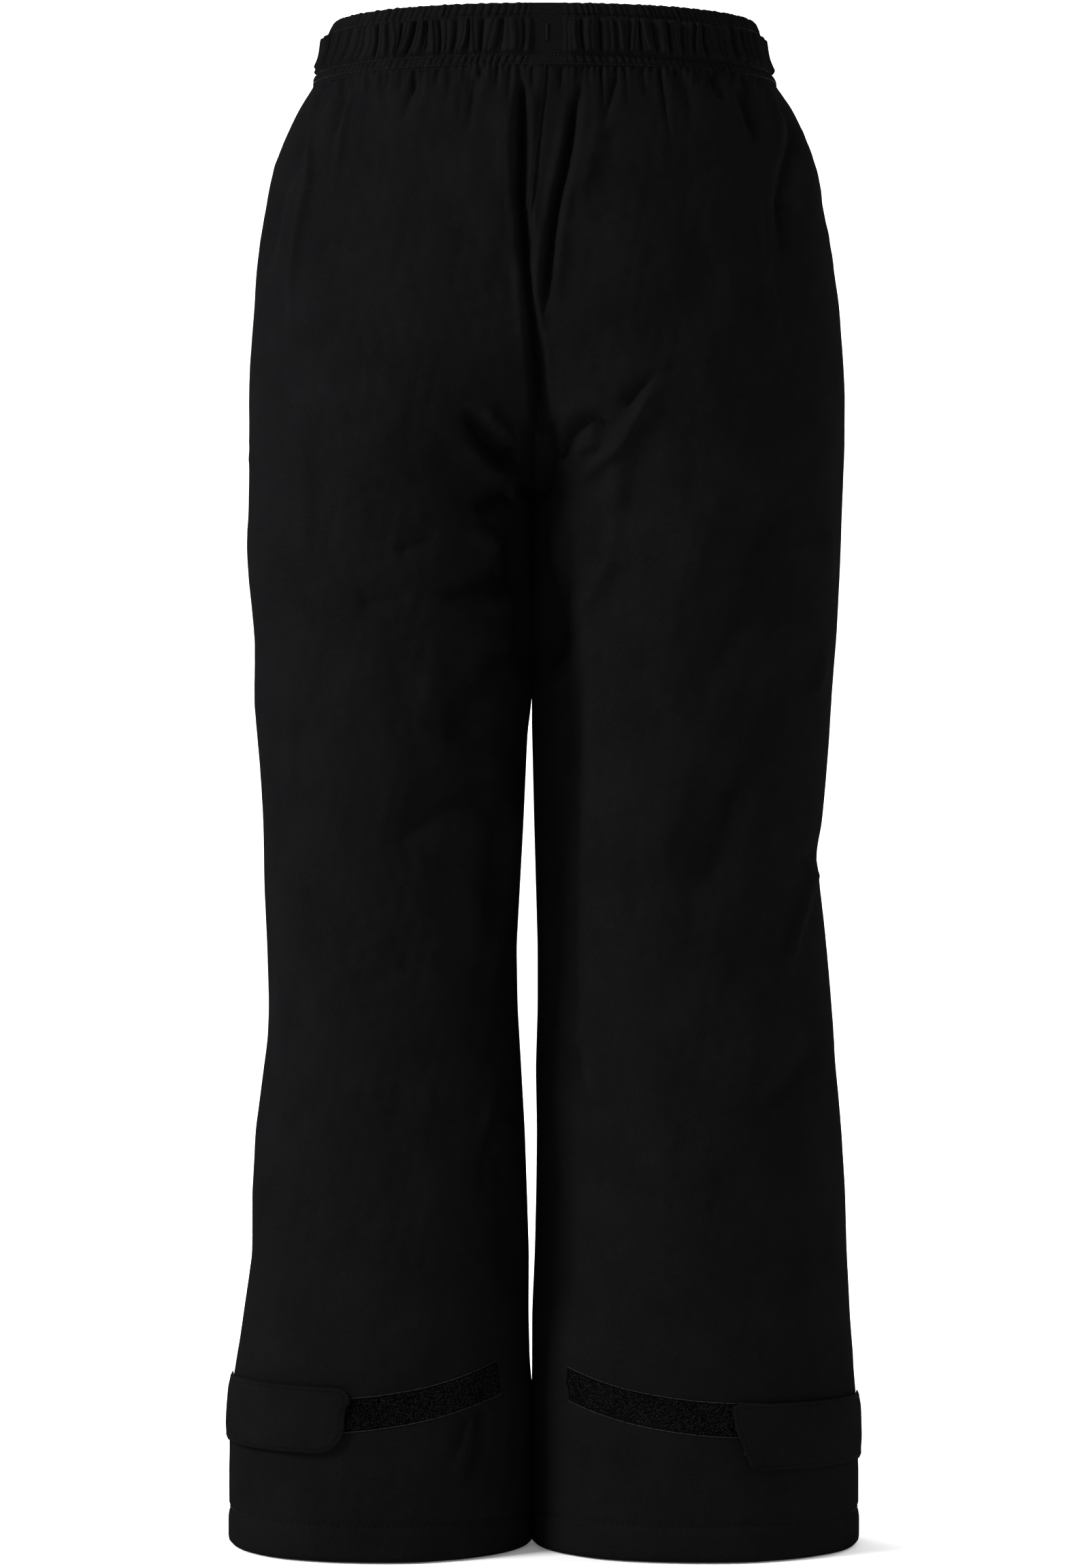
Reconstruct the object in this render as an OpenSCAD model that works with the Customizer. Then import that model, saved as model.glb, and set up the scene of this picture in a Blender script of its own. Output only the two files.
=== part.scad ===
// Padded ski pants: shell, padding, lining, gathered waistband, zips, snap and ankle tabs.
// Front faces +Y, wearer's right is +X, the hems stand on z = 0.

/* [Sizes] */
// Overall height from hem to the top of the waistband
total_h = 850; // [845:1:860]
// Height of the gathered waistband
band_h = 34; // [30:1:36]
// Depth of the turned-up hem
hem_h = 22; // [18:1:22]

/* [Cloth] */
// Thickness of the woven outer shell
shell_t = 1.0; // [0.8:0.1:1.2]
// Depth below the outer face where the padding starts
pad_from = 4.6; // [4.5:0.1:4.8]
// Depth below the outer face where the padding ends
pad_to = 7.4; // [6.4:0.1:7.5]
// Thickness of the lining
lining_t = 0.5; // [0.4:0.1:0.8]
// Height of the waistband's pleats
pleat_h = 1.6; // [0.6:0.1:2.0]

/* [Ankle tabs] */
// Height of an ankle tab
tab_h = 36; // [30:1:38]
// Height of the loop strip that a tab sticks to
loop_h = 20; // [16:1:22]
// Lower edge of the left tab
tab_z_left = 60; // [56:1:62]
// Lower edge of the right tab
tab_z_right = 51; // [48:1:54]

/* [Zips and snap] */
// Half width of the raised zip teeth
bead_w = 2.2; // [1.8:0.1:2.4]
// Length of a zip slider
slider_l = 9; // [8:0.5:11]
// Length of a zip puller
puller_l = 22; // [16:1:26]
// Radius of the snap's cap
cap_r = 6.5; // [5.5:0.5:7.5]

/* [Hidden] */

cloth_dark = [0.07, 0.07, 0.075];
cloth_inner = [0.11, 0.11, 0.115];
tape_dark = [0.045, 0.045, 0.05];
pad_grey = [0.35, 0.35, 0.36];
metal_dark = [0.16, 0.16, 0.17];

// Where the model's own middle lies from the drawing axes
shift = [0.3, 6.4, 0];
// Half gap between two sewn edges
g = 0.12;
// Height of the crotch point
crotch_z = 588;
// Front middle line, upright from the fly's foot to the top
front_y = 84;
band_z = total_h - band_h;

// Tables by height: [z, value]
// Half width at the wearer's left and right, from x = 0
wl = [[0,176],[100,174],[120,169],[140,165],[190,163],[235,161],[280,155],[320,154.5],[360,156],[400,157],[440,159],[480,162],[520,163],[552,166],[606,165],[664,165],[774,149.5],[787,144.5],[800,138.5],[816,129],[843,121],[850,116]];
wr = [[0,175.5],[100,173],[140,170.5],[190,168.5],[235,166],[280,162],[320,158],[360,154],[385,152.5],[400,155],[440,158],[480,161],[520,164],[552,166],[606,167.5],[664,166.5],[774,149.5],[787,145],[800,140],[816,129],[843,121],[850,116]];
// Sideways place of the middle plane between the halves
xm = [[0,-7],[596,-7],[640,-3],[664,0],[850,0]];
// How far the back and the front are split into two lobes
kb = [[588,1.01],[596,.96],[606,.89],[618,.78],[632,.62],[648,.47],[664,.36],[719,.18],[774,.05],[816,0],[850,0]];
kf = [[588,1.01],[596,.96],[606,.88],[618,.75],[632,.55],[648,.3],[664,0],[850,0]];
// Half gap between the legs, at the left and at the right leg
gl = [[0,1.2],[140,1.5],[190,2.5],[235,4],[300,8],[333,8.6],[400,4.8],[480,.8],[588,.8]];
gr = [[0,1.5],[140,1.2],[190,2.2],[235,2.8],[333,3.2],[400,1.4],[480,.8],[588,.8]];
// Middle of the cross section, and its depth to the back and to the front
cy = [[0,0],[400,2],[588,0],[664,2],[774,4],[850,6]];
rb = [[0,65],[140,67],[235,70],[330,67],[400,70],[480,79],[552,89],[588,95],[618,102],[664,106],[719,101],[774,91],[816,80],[850,76]];
rf = [[0,65],[140,63],[235,64],[330,70],[400,72],[480,78],[552,85],[588,88],[632,86],[664,82]];

function depth(fb, z) = fb < 0 ? lookup(z, rb) : z > 664 ? front_y - lookup(z, cy) : lookup(z, rf);
function width(s, z) = (s > 0 ? lookup(z, wr) : lookup(z, wl)) - s * lookup(z, xm);
function split(fb, z) = fb < 0 ? lookup(z, kb) : lookup(z, kf);
function half_gap(s, z) = s > 0 ? lookup(z, gr) : lookup(z, gl);
function mid_x(s, fb, z) = z >= crotch_z ? split(fb, z) * width(s, z) / (1 + split(fb, z)) : (width(s, z) + half_gap(s, z)) / 2;
function rad_x(s, fb, z) = z >= crotch_z ? width(s, z) / (1 + split(fb, z)) : (width(s, z) - half_gap(s, z)) / 2;
function end_angle(c, r, ry) = min(acos(max(-1, min(1, (g - c) / r))), 180 - g / ry * 57.3);
// A point of the garment: side s, front or back fb, fraction u from the side seam to the middle
// seam or inseam, height z, depth d below the outer face
function P(s, fb, u, z, d) =
  let (c = mid_x(s, fb, z), r = rad_x(s, fb, z) - d, ry = depth(fb, z) - d, t = u * end_angle(c, r, ry))
  [lookup(z, xm) + s * (c + r * cos(t)), lookup(z, cy) + fb * ry * sin(t), z];

// A closed sheet between two depths. cols are [s, fb, u]; zf, d1 and d2 give the height and the two
// depths at column i and row j; cells in skip are left out; ring joins the last column to the first.
module sheet(cols, nr, zf, d1, d2, skip = [], ring = false) {
  nc = len(cols);
  n = nc * nr;
  cc = ring ? nc : nc - 1;
  pts = concat(
    [for (j = [0:nr-1]) for (i = [0:nc-1]) P(cols[i][0], cols[i][1], cols[i][2], zf(i, j), d1(i, j))],
    [for (j = [0:nr-1]) for (i = [0:nc-1]) P(cols[i][0], cols[i][1], cols[i][2], zf(i, j), d2(i, j))]);
  function id(k, i, j) = k * n + j * nc + (i % nc);
  function on(i, j) = j >= 0 && j < nr - 1 && (ring || (i >= 0 && i < nc - 1)) &&
    len([for (c = skip) if (c[0] == (i + nc) % nc && c[1] == j) 1]) == 0;
  // Seen from outside, columns that run forwards on the right half run anticlockwise from above
  faces = [for (j = [0:nr-2]) for (i = [0:cc-1]) if (on(i, j)) each concat(
    [[id(0,i,j), id(0,i+1,j), id(0,i+1,j+1)], [id(0,i,j), id(0,i+1,j+1), id(0,i,j+1)],
     [id(1,i,j), id(1,i+1,j+1), id(1,i+1,j)], [id(1,i,j), id(1,i,j+1), id(1,i+1,j+1)]],
    on(i, j-1) ? [] : [[id(0,i,j), id(1,i+1,j), id(0,i+1,j)], [id(0,i,j), id(1,i,j), id(1,i+1,j)]],
    on(i, j+1) ? [] : [[id(0,i,j+1), id(0,i+1,j+1), id(1,i+1,j+1)], [id(0,i,j+1), id(1,i+1,j+1), id(1,i,j+1)]],
    on(i-1, j) ? [] : [[id(0,i,j), id(0,i,j+1), id(1,i,j+1)], [id(0,i,j), id(1,i,j+1), id(1,i,j)]],
    on(i+1, j) ? [] : [[id(0,i+1,j), id(1,i+1,j+1), id(0,i+1,j+1)], [id(0,i+1,j), id(1,i+1,j), id(1,i+1,j+1)]])];
  translate(shift) polyhedron(points = pts, faces = faces);
}

// Flat ring cut from the leg's section between two depths
function ring_points(s, z, d) = concat(
  [for (i = [0:24]) let (p = P(s, 1, i / 24, z, d)) [p[0], p[1]]],
  [for (i = [23:-1:1]) let (p = P(s, -1, i / 24, z, d)) [p[0], p[1]]]);

rows = [band_z, 800, 787, 774, 719, 664, 648, 632, 618, 606, 596, 588, 574, 552, 520, 480, 440, 400, 360, 320, 280, 235, 190, 140, 100, 60, hem_h + 0.2];
nrow = len(rows);
fine = [0.002, .07, .15, .21, .27, .33, .39, .45, .53, .61, .69, .77, .85, .91, .97, 1];
coarse = [0.002, .15, .27, .33, .45, .61, .77, .91, .97, 1];
// Rows of the pocket mouth and of the fly's slot, and their columns in each list
mouth = [3, 4];
fly = [0, 1, 2, 3, 4];

// Columns keep the outer face outwards: forwards on the right half, backwards on the left
function cols(s, fb, us) = s * fb > 0 ? [for (u = us) [s, fb, u]] : [for (i = [len(us)-1:-1:0]) [s, fb, us[i]]];
function cell(s, fb, us, i) = s * fb > 0 ? i : len(us) - 2 - i;

module panel(s, fb) color(cloth_dark)
  sheet(cols(s, fb, fine), nrow, function(i, j) rows[j], function(i, j) 0, function(i, j) shell_t,
    skip = fb < 0 ? [] : concat([for (j = mouth) [cell(s, fb, fine, 4), j]], [for (j = fly) [cell(s, fb, fine, 14), j]]));

module padding(s, fb) color(pad_grey)
  sheet(cols(s, fb, coarse), nrow, function(i, j) j == nrow - 1 ? hem_h + 4 : rows[j],
    function(i, j) pad_from, function(i, j) pad_to,
    skip = fb < 0 ? [] : [for (j = fly) [cell(s, fb, coarse, 8), j]]);

module lining(s) color(cloth_inner) {
  back = cols(s, -1, coarse);
  front = cols(s, 1, coarse);
  all = s > 0 ? concat([for (i = [0:len(coarse)-2]) back[i]], [[s, 1, 0]], [for (i = [1:len(coarse)-1]) front[i]])
              : concat([for (i = [0:len(coarse)-2]) front[i]], [[s, 1, 0]], [for (i = [1:len(coarse)-1]) back[i]]);
  sheet(all, nrow, function(i, j) j == nrow - 1 ? hem_h + 4 : rows[j],
    function(i, j) pad_to + 0.58, function(i, j) pad_to + 0.58 + lining_t,
    skip = [for (j = fly) [s > 0 ? len(all) - 2 : 0, j]]);
}

// Waistband casing, gathered into pleats that flatten at each stitch row and at the middle back
band_rows = [total_h, total_h - 7, total_h - 13, total_h - 24, total_h - 30, band_z + 0.2];
band_lift = [0.5, 0.05, 1, 1, 0.05, 0.5];
npleat = 12;
quarter = concat([for (i = [0:2*npleat]) 0.93 * i / (2 * npleat)], [.97, 1]);
module band_half(s) color(cloth_dark) {
  front = cols(s, 1, quarter);
  back = cols(s, -1, quarter);
  all = s > 0 ? concat([for (i = [0:len(quarter)-2]) back[i]], front) : concat([for (i = [0:len(quarter)-2]) front[i]], back);
  sheet(all, len(band_rows), function(i, j) band_rows[j],
    function(i, j) -0.3 - (all[i][2] < (all[i][1] < 0 ? .93 : .7) && i % 2 == 1 ? pleat_h * band_lift[j] : 0),
    function(i, j) j == 0 ? 3.9 : 1.2);
}

// A strip round the waist, from one front quarter over the back to the other
function round_waist(from) = concat(
  [for (u = [from:-0.1:0.04]) [-1, 1, u]], [for (u = [0:0.1:0.91]) [-1, -1, u]], [[-1, -1, 1], [1, -1, 1]],
  [for (u = [0.9:-0.1:-0.01]) [1, -1, max(u, 0)]], [for (u = [0.1:0.1:from+0.01]) [1, 1, u]]);
module waist_strip(from, z0, z1, d1, d2)
  sheet(round_waist(from), 3, function(i, j) z1 + (z0 - z1) * j / 2, function(i, j) d1, function(i, j) d2);

module hem(s) color(cloth_dark) translate(shift) linear_extrude(height = hem_h)
  difference() { polygon(ring_points(s, 10, -0.5)); polygon(ring_points(s, 10, 2.3)); }

// Tape over a seam, on the inside of the shell
module seam_tape(c, j0, j1) color(tape_dark)
  sheet(c, j1 - j0 + 1, function(i, j) rows[j + j0], function(i, j) shell_t + 0.05, function(i, j) shell_t + 0.35);

// Ankle tab wrapped from the side seam to the back; its free end has rounded corners
tab_u = [0, .03, .08, .14, .20, .27, .34, .40, .432, .444];
tab_gap = [0.1, 0.4, 1.0, 1.8, 2.15, 2.15, 2.15, 2.15, 2.15, 2.15];
tab_cut = [0, 0, 0, 0, 0, 0, 0, 1, 4, 11];
function tab_cols(s, us) = s > 0 ? [for (i = [len(us)-1:-1:0]) [s, -1, us[i]]] : [for (u = us) [s, -1, u]];
module ankle_tab(s) color(cloth_dark) {
  z0 = s > 0 ? tab_z_right : tab_z_left;
  m = len(tab_u);
  sheet(tab_cols(s, tab_u), 5,
    function(i, j) let (q = s > 0 ? m - 1 - i : i) z0 + tab_cut[q] + (tab_h - 2 * tab_cut[q]) * (4 - j) / 4,
    function(i, j) -tab_gap[s > 0 ? m - 1 - i : i] - 1.85, function(i, j) -tab_gap[s > 0 ? m - 1 - i : i]);
}
hook_u = [.24, .27, .34, .40, .425];
module hook_patch(s) color(tape_dark) {
  z0 = (s > 0 ? tab_z_right : tab_z_left) + tab_h / 2 - 10;
  sheet(tab_cols(s, hook_u), 3, function(i, j) z0 + 20 * (2 - j) / 2, function(i, j) -1.66, function(i, j) -1.04);
}
// Loop strip, rising towards the inner leg
loop_u = [.20, .27, .34, .40, .47, .54, .61, .69, .77, .79];
module loop_strip(s) color(tape_dark) {
  z0 = s > 0 ? 64 : 66;
  m = len(loop_u);
  sheet(tab_cols(s, loop_u), 2,
    function(i, j) let (q = s > 0 ? m - 1 - i : i) z0 + 20 * (loop_u[q] - .2) / .59 * (s > 0 ? 1 : 1.1) + (j == 0 ? loop_h : 0),
    function(i, j) -0.95, function(i, j) -0.4);
}

// Snow gaiter: a sleeve from the lining down to an elastic edge
function leg_ring(s) = let (m = len(coarse) - 1)
  concat([for (i = [m-1:-1:1]) [s, -s, coarse[i]]], [[s, s, 0]], [for (i = [1:m]) [s, s, coarse[i]]]);
gaiter_z = [200, 170, 120, 75, 40, 24];
gaiter_d = [9, 12, 17, 21, 24, 25];
module gaiter(s) color(cloth_inner)
  sheet(leg_ring(s), len(gaiter_z), function(i, j) gaiter_z[j], function(i, j) gaiter_d[j], function(i, j) gaiter_d[j] + 0.8, ring = true);
module gaiter_elastic(s) color(tape_dark)
  sheet(leg_ring(s), 2, function(i, j) 39 - 14 * j, function(i, j) 26.2, function(i, j) 27.6, ring = true);

// Zip seen along its length: x across, y outwards, z along. Heights are from the tape's outer face.
module zip_teeth(l) linear_extrude(height = l)
  polygon([[-.9,0],[.9,0],[.9,1],[bead_w,1],[bead_w,2.6],[-bead_w,2.6],[-bead_w,1],[-.9,1]]);
module zip_tape(l, w) translate([-w, -.6, 0]) cube([2 * w, .6, l]);
module zip_slider() color(metal_dark) {
  difference() {
    union() {
      linear_extrude(height = slider_l)
        polygon([[-bead_w-1.6,.15],[-1.1,.15],[-1.1,.85],[-bead_w-.15,.85],[-bead_w-.15,2.75],[bead_w+.15,2.75],[bead_w+.15,.85],[1.1,.85],[1.1,.15],[bead_w+1.6,.15],[bead_w+1.6,3.2],[bead_w+1,3.8],[-bead_w-1,3.8],[-bead_w-1.6,3.2]]);
      for (s = [-1, 1]) translate([s * 2.15 - .55, 3.7, slider_l - 4.2]) cube([1.1, 2.3, 3]);
    }
  }
  translate([-2.2, 5, slider_l - 2.7]) rotate([0, 90, 0]) cylinder(h = 4.4, r = .6, $fn = 32);
}
module zip_puller() color(metal_dark) translate([0, 5, slider_l - 2.7]) difference() {
  union() {
    translate([-1.45, 0, 0]) rotate([0, 90, 0]) cylinder(h = 2.9, r = 1.15, $fn = 32);
    translate([-1.45, -.5, -5]) cube([2.9, 1, 5]);
    translate([0, .5, 0]) rotate([90, 0, 0]) linear_extrude(height = 1)
      polygon([[-1.45,0],[-1.45,-2.2],[-3,-3.8],[-3.4,-puller_l+2],[-2.6,-puller_l+1],[2.6,-puller_l+1],[3.4,-puller_l+2],[3,-3.8],[1.45,-2.2],[1.45,0]]);
  }
  translate([-2, 0, 0]) rotate([0, 90, 0]) cylinder(h = 4, r = .66, $fn = 32);
}

// Fly: upright on the front middle line
fly_y = front_y - 2;
fly_z0 = 668;
fly_l = 146;
fly_top = fly_z0 + fly_l - slider_l - 1;
module fly_zip_tape() color(tape_dark) translate(shift) translate([0, fly_y, fly_z0 - 2])
  for (s = [-1, 1]) translate([s * 6.6 - 6.4, -.6, 0]) cube([12.8, .6, fly_l + 2]);
module fly_zip_teeth() color(tape_dark) translate(shift) translate([0, fly_y, fly_z0]) zip_teeth(fly_l);
module fly_zip_stops() color(metal_dark) translate(shift) translate([0, fly_y, 0]) {
  translate([-3.4, .1, fly_z0 - 3.2]) cube([6.8, 2.6, 3]);
}
module fly_zip_slider() translate(shift) translate([0, fly_y, fly_top]) zip_slider();
module fly_zip_puller() translate(shift) translate([0, fly_y, fly_top]) zip_puller();
module fly_shield() color(cloth_dark) translate(shift) translate([-16, fly_y - 2.0, fly_z0 - 8]) cube([32, .9, fly_l + 7]);

// Waist closure: a flap from the left over the right, closed by a snap
flap_x = -22;
flap_y = front_y + 4.7;
snap_x = 13;
snap_z = total_h - 17;
module waist_flap() color(cloth_dark) translate(shift) {
  translate([flap_x, flap_y, total_h - 31]) cylinder(h = 28, r = .7, $fn = 32);
  translate([flap_x, flap_y + .7, total_h - 17]) rotate([90, 0, 0]) linear_extrude(height = 1.4)
    polygon([[0,-14],[40,-14],[44,-12],[46,-8],[46,8],[44,12],[40,14],[0,14]]);
}
module flap_anchor() color(cloth_dark) translate(shift) translate([flap_x - 9, front_y - 2.2, total_h - 32]) cube([8.1, 5.5, 30]);
module along_y(y0, y1, r, f = 48) translate([snap_x, y1, snap_z]) rotate([90, 0, 0]) cylinder(h = y1 - y0, r = r, $fn = f);
module snap_cap() color(metal_dark) translate(shift) {
  translate([snap_x, 0, snap_z]) rotate([-90, 0, 0]) rotate_extrude($fn = 48)
    polygon([[0, flap_y - 1.5],[1.2, flap_y - 1.5],[1.2, flap_y + .7],[cap_r, flap_y + .7],[cap_r, flap_y + 1.3],[cap_r - 1.2, flap_y + 1.9],[0, flap_y + 2.2]]);
}
module snap_socket() color(metal_dark) translate(shift) difference() {
  along_y(front_y + 1.6, flap_y - .75, cap_r - .5);
  along_y(front_y + 1, flap_y - 1.6, 2.5);
  along_y(flap_y - 2.6, flap_y, 1.2);
}
module snap_stud() color(metal_dark) translate(shift) {
  along_y(front_y + .6, front_y + 1.3, cap_r - .5);
  along_y(front_y + 1.2, front_y + 3, 2.4);
}
module snap_post() color(metal_dark) translate(shift) {
  along_y(front_y - 6.4, front_y - 5.4, cap_r - .5);
  along_y(front_y - 5.5, front_y + 1.1, 1.2);
}

// Hand pockets, on the straight line of column .30 between the mouth's rows
function pocket_p(s, z) = P(s, 1, .30, z, 0) + shift;
pocket_a = 774;
pocket_b = 664;
function unit(v) = v / norm(v);
function pocket_w(s) = unit(pocket_p(s, pocket_a) - pocket_p(s, pocket_b));
function pocket_n(s) = let (m = pocket_p(s, 719), t = unit((P(s, 1, .33, 719, 0) - P(s, 1, .27, 719, 0)) * s), w = pocket_w(s)) unit(cross(t, w));
function pocket_m(s, up) = let (w = pocket_w(s), n = pocket_n(s), u = cross(n, w), o = pocket_p(s, pocket_b) + w * up - n * 2.35)
  [[u[0], n[0], w[0], o[0]], [u[1], n[1], w[1], o[1]], [u[2], n[2], w[2], o[2]], [0, 0, 0, 1]];
pocket_l = 108;
module pocket_zip(s) color(tape_dark) multmatrix(pocket_m(s, 1.2)) {
  zip_tape(pocket_l, 7.4);
  zip_teeth(pocket_l);
}
pocket_top = 1.2 + pocket_l - slider_l - .6;
module pocket_slider(s) multmatrix(pocket_m(s, pocket_top)) zip_slider();
module pocket_puller(s) multmatrix(pocket_m(s, pocket_top)) zip_puller();
bag_u = [.15, .27, .33, .45, .61];
bag_rows = [787, 774, 719, 664, 648, 632, 618];
module pocket_bag(s) color(cloth_inner) {
  nb = len(bag_rows);
  sheet(cols(s, 1, bag_u), nb, function(i, j) bag_rows[j], function(i, j) 3.2, function(i, j) 3.6,
    skip = [for (j = [1, 2]) [cell(s, 1, bag_u, 1), j]]);
  sheet(cols(s, 1, bag_u), nb, function(i, j) bag_rows[j], function(i, j) 3.9, function(i, j) 4.3);
  for (e = [[.15, .18], [.58, .61]])
    sheet(cols(s, 1, e), nb, function(i, j) bag_rows[j], function(i, j) 3.5, function(i, j) 4.0);
}

// Dense stitched bars where seams take load
module bar_at(s, fb, u, z, l, w) {
  sheet(cols(s, fb, [u - w / 2, u + w / 2]), 2, function(i, j) z + l / 2 - l * j, function(i, j) -.75, function(i, j) -.05);
}
module bartacks() color(tape_dark) {
  translate(shift + [.9, lookup(833, cy) - lookup(833, rb) - 1.25, 826]) cube([1.4, .8, 10]);
  for (s = [-1, 1]) {
    bar_at(s, 1, .30, 777.5, 1.6, .06);
    bar_at(s, 1, .30, 660.5, 1.6, .06);
  }
}

// Hanger loop inside the middle back of the waistband, and a blank care label
module hanger_loop() color(tape_dark) translate(shift) {
  y = lookup(830, cy) - lookup(830, rb) + 8.9;
  translate([0, y + 1.2, 0]) rotate([90, 0, 0]) linear_extrude(height = 1.2) difference() {
    polygon([[-22, 846],[-22, 824],[-18, 819],[18, 819],[22, 824],[22, 846]]);
    polygon([[-17, 848],[-17, 826],[-15, 824],[15, 824],[17, 826],[17, 848]]);
  }
}
module care_label() color("white")
  sheet(cols(-1, -1, [.15, .27, .33]), 3, function(i, j) 719 - 27.5 * j, function(i, j) 8.9, function(i, j) 9.3);

panel(-1, 1);  // front_panel_left
panel(1, 1);  // front_panel_right
panel(-1, -1);  // back_panel_left
panel(1, -1);  // back_panel_right
padding(-1, 1);  // padding_front_left
padding(1, 1);  // padding_front_right
padding(-1, -1);  // padding_back_left
padding(1, -1);  // padding_back_right
lining(-1);  // lining_left
lining(1);  // lining_right
band_half(-1);  // waistband_left
band_half(1);  // waistband_right
color(cloth_inner) waist_strip(.9, band_z + 1, total_h - 1, 4.0, 4.8);  // waistband_facing
color(pad_grey) waist_strip(.6, total_h - 28, total_h - 8, 1.8, 3.2);  // waist_elastic
hem(-1);  // hem_left
hem(1);  // hem_right
seam_tape([[-1, -1, .97], [-1, -1, 1], [1, -1, 1], [1, -1, .97]], 0, 10);  // seam_tape_seat
seam_tape([[1, 1, .97], [1, 1, 1], [-1, 1, 1], [-1, 1, .97]], 6, 10);  // seam_tape_front
seam_tape([[-1, 1, .07], [-1, 1, 0], [-1, -1, .07]], 0, nrow - 1);  // seam_tape_side_left
seam_tape([[1, -1, .07], [1, 1, 0], [1, 1, .07]], 0, nrow - 1);  // seam_tape_side_right
seam_tape([[-1, -1, .97], [-1, -1, 1], [-1, 1, 1], [-1, 1, .97]], 12, nrow - 1);  // seam_tape_inseam_left
seam_tape([[1, 1, .97], [1, 1, 1], [1, -1, 1], [1, -1, .97]], 12, nrow - 1);  // seam_tape_inseam_right
ankle_tab(-1);  // ankle_tab_left
ankle_tab(1);  // ankle_tab_right
hook_patch(-1);  // hook_patch_left
hook_patch(1);  // hook_patch_right
loop_strip(-1);  // loop_strip_left
loop_strip(1);  // loop_strip_right
gaiter(-1);  // gaiter_left
gaiter(1);  // gaiter_right
gaiter_elastic(-1);  // gaiter_elastic_left
gaiter_elastic(1);  // gaiter_elastic_right
fly_zip_tape();
fly_zip_teeth();
fly_zip_stops();
fly_zip_slider();
fly_zip_puller();
fly_shield();
waist_flap();
flap_anchor();
snap_cap();
snap_socket();
snap_stud();
snap_post();
pocket_bag(-1);  // pocket_bag_left
pocket_bag(1);  // pocket_bag_right
pocket_zip(-1);  // pocket_zip_left
pocket_zip(1);  // pocket_zip_right
pocket_slider(-1);  // pocket_slider_left
pocket_slider(1);  // pocket_slider_right
pocket_puller(-1);  // pocket_puller_left
pocket_puller(1);  // pocket_puller_right
bartacks();
hanger_loop();
care_label();
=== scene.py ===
import json
import math
import bpy
import numpy as np
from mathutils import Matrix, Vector


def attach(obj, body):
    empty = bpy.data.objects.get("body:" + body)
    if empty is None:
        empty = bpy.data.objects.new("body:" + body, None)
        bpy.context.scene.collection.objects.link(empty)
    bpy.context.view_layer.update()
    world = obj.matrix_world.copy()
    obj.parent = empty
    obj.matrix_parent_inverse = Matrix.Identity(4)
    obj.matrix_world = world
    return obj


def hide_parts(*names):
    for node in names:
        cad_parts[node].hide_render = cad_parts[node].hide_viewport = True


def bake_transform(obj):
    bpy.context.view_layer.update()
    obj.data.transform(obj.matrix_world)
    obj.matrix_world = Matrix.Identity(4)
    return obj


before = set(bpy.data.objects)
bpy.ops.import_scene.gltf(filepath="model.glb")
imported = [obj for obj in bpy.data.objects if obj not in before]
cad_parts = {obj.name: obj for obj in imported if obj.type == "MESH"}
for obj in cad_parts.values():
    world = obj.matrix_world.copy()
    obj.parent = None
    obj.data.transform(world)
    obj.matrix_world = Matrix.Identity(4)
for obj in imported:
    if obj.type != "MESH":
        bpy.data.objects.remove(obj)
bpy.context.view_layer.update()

scene = bpy.context.scene

# ---------------------------------------------------------------- camera
# The photo is taken as a long-lens view from behind. All lengths below are in millimetres.
CAM = np.array([-0.5, -2193.6, 424.0])
FOCAL = 5775.0                      # pixels, for an image of 1596 x 2305
cam_data = bpy.data.cameras.new("camera")
cam_data.sensor_width = 36
cam_data.lens = FOCAL / 2305 * 36
cam_data.clip_start, cam_data.clip_end = 0.05, 60
cam = bpy.data.objects.new("camera", cam_data)
cam.location = CAM / 1000
cam.rotation_euler = (math.radians(90), 0, 0)
scene.collection.objects.link(cam)
scene.camera = cam
scene.view_settings.view_transform = "Standard"
scene.view_settings.look = "None"

rng = np.random.RandomState(7)


def smooth(x, a, b):
    t = np.clip((np.asarray(x, float) - a) / (b - a), 0, 1)
    return t * t * (3 - 2 * t)


def gauss(x, w):
    return np.exp(-(np.asarray(x, float) / w) ** 2)


# ---------------------------------------------------------------- the garment's surface
# Tables of [height, value]; the same ones as the CAD, then smoothed.
ZG = np.arange(-40, 900.0)


def table(rows, sigma):
    z, v = np.array(rows, float).T
    a = np.interp(ZG, z, v)
    if sigma:
        k = np.exp(-0.5 * (np.arange(-4 * sigma, 4 * sigma + 1) / sigma) ** 2)
        a = np.convolve(np.pad(a, 4 * sigma, mode="edge"), k / k.sum(), mode="valid")
    return lambda q: np.interp(q, ZG, a)


CADL = [[0,176],[100,174],[120,169],[140,165],[190,163],[235,161],[280,155],[320,154.5],[360,156],[400,157],[440,159],[480,162],[520,163],[552,166],[606,165],[664,165],[774,149.5],[787,144.5],[800,138.5],[816,129],[843,121],[850,116]]
CADR = [[0,175.5],[100,173],[140,170.5],[190,168.5],[235,166],[280,162],[320,158],[360,154],[385,152.5],[400,155],[440,158],[480,161],[520,164],[552,166],[606,167.5],[664,166.5],[774,149.5],[787,145],[800,140],[816,129],[843,121],[850,116]]
SILL = [[0,176],[60,176.2],[76,175.8],[93,174],[110,170.7],[128,168],[162,163],[196,163],[230,161.5],[265,157],[282,154.7],[299,154],[333,155],[368,156.6],[402,157],[436,159],[470,162],[505,161.5],[539,165],[556,166],[573,165],[608,164.6],[642,165],[659,164.6],[693,162],[710,161],[728,159],[745,156],[762,153],[779,147.7],[796,140.5],[806,135],[814,129.5],[820,127],[828,122.6],[836,121.7],[843,121.3],[850,116]]
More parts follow.
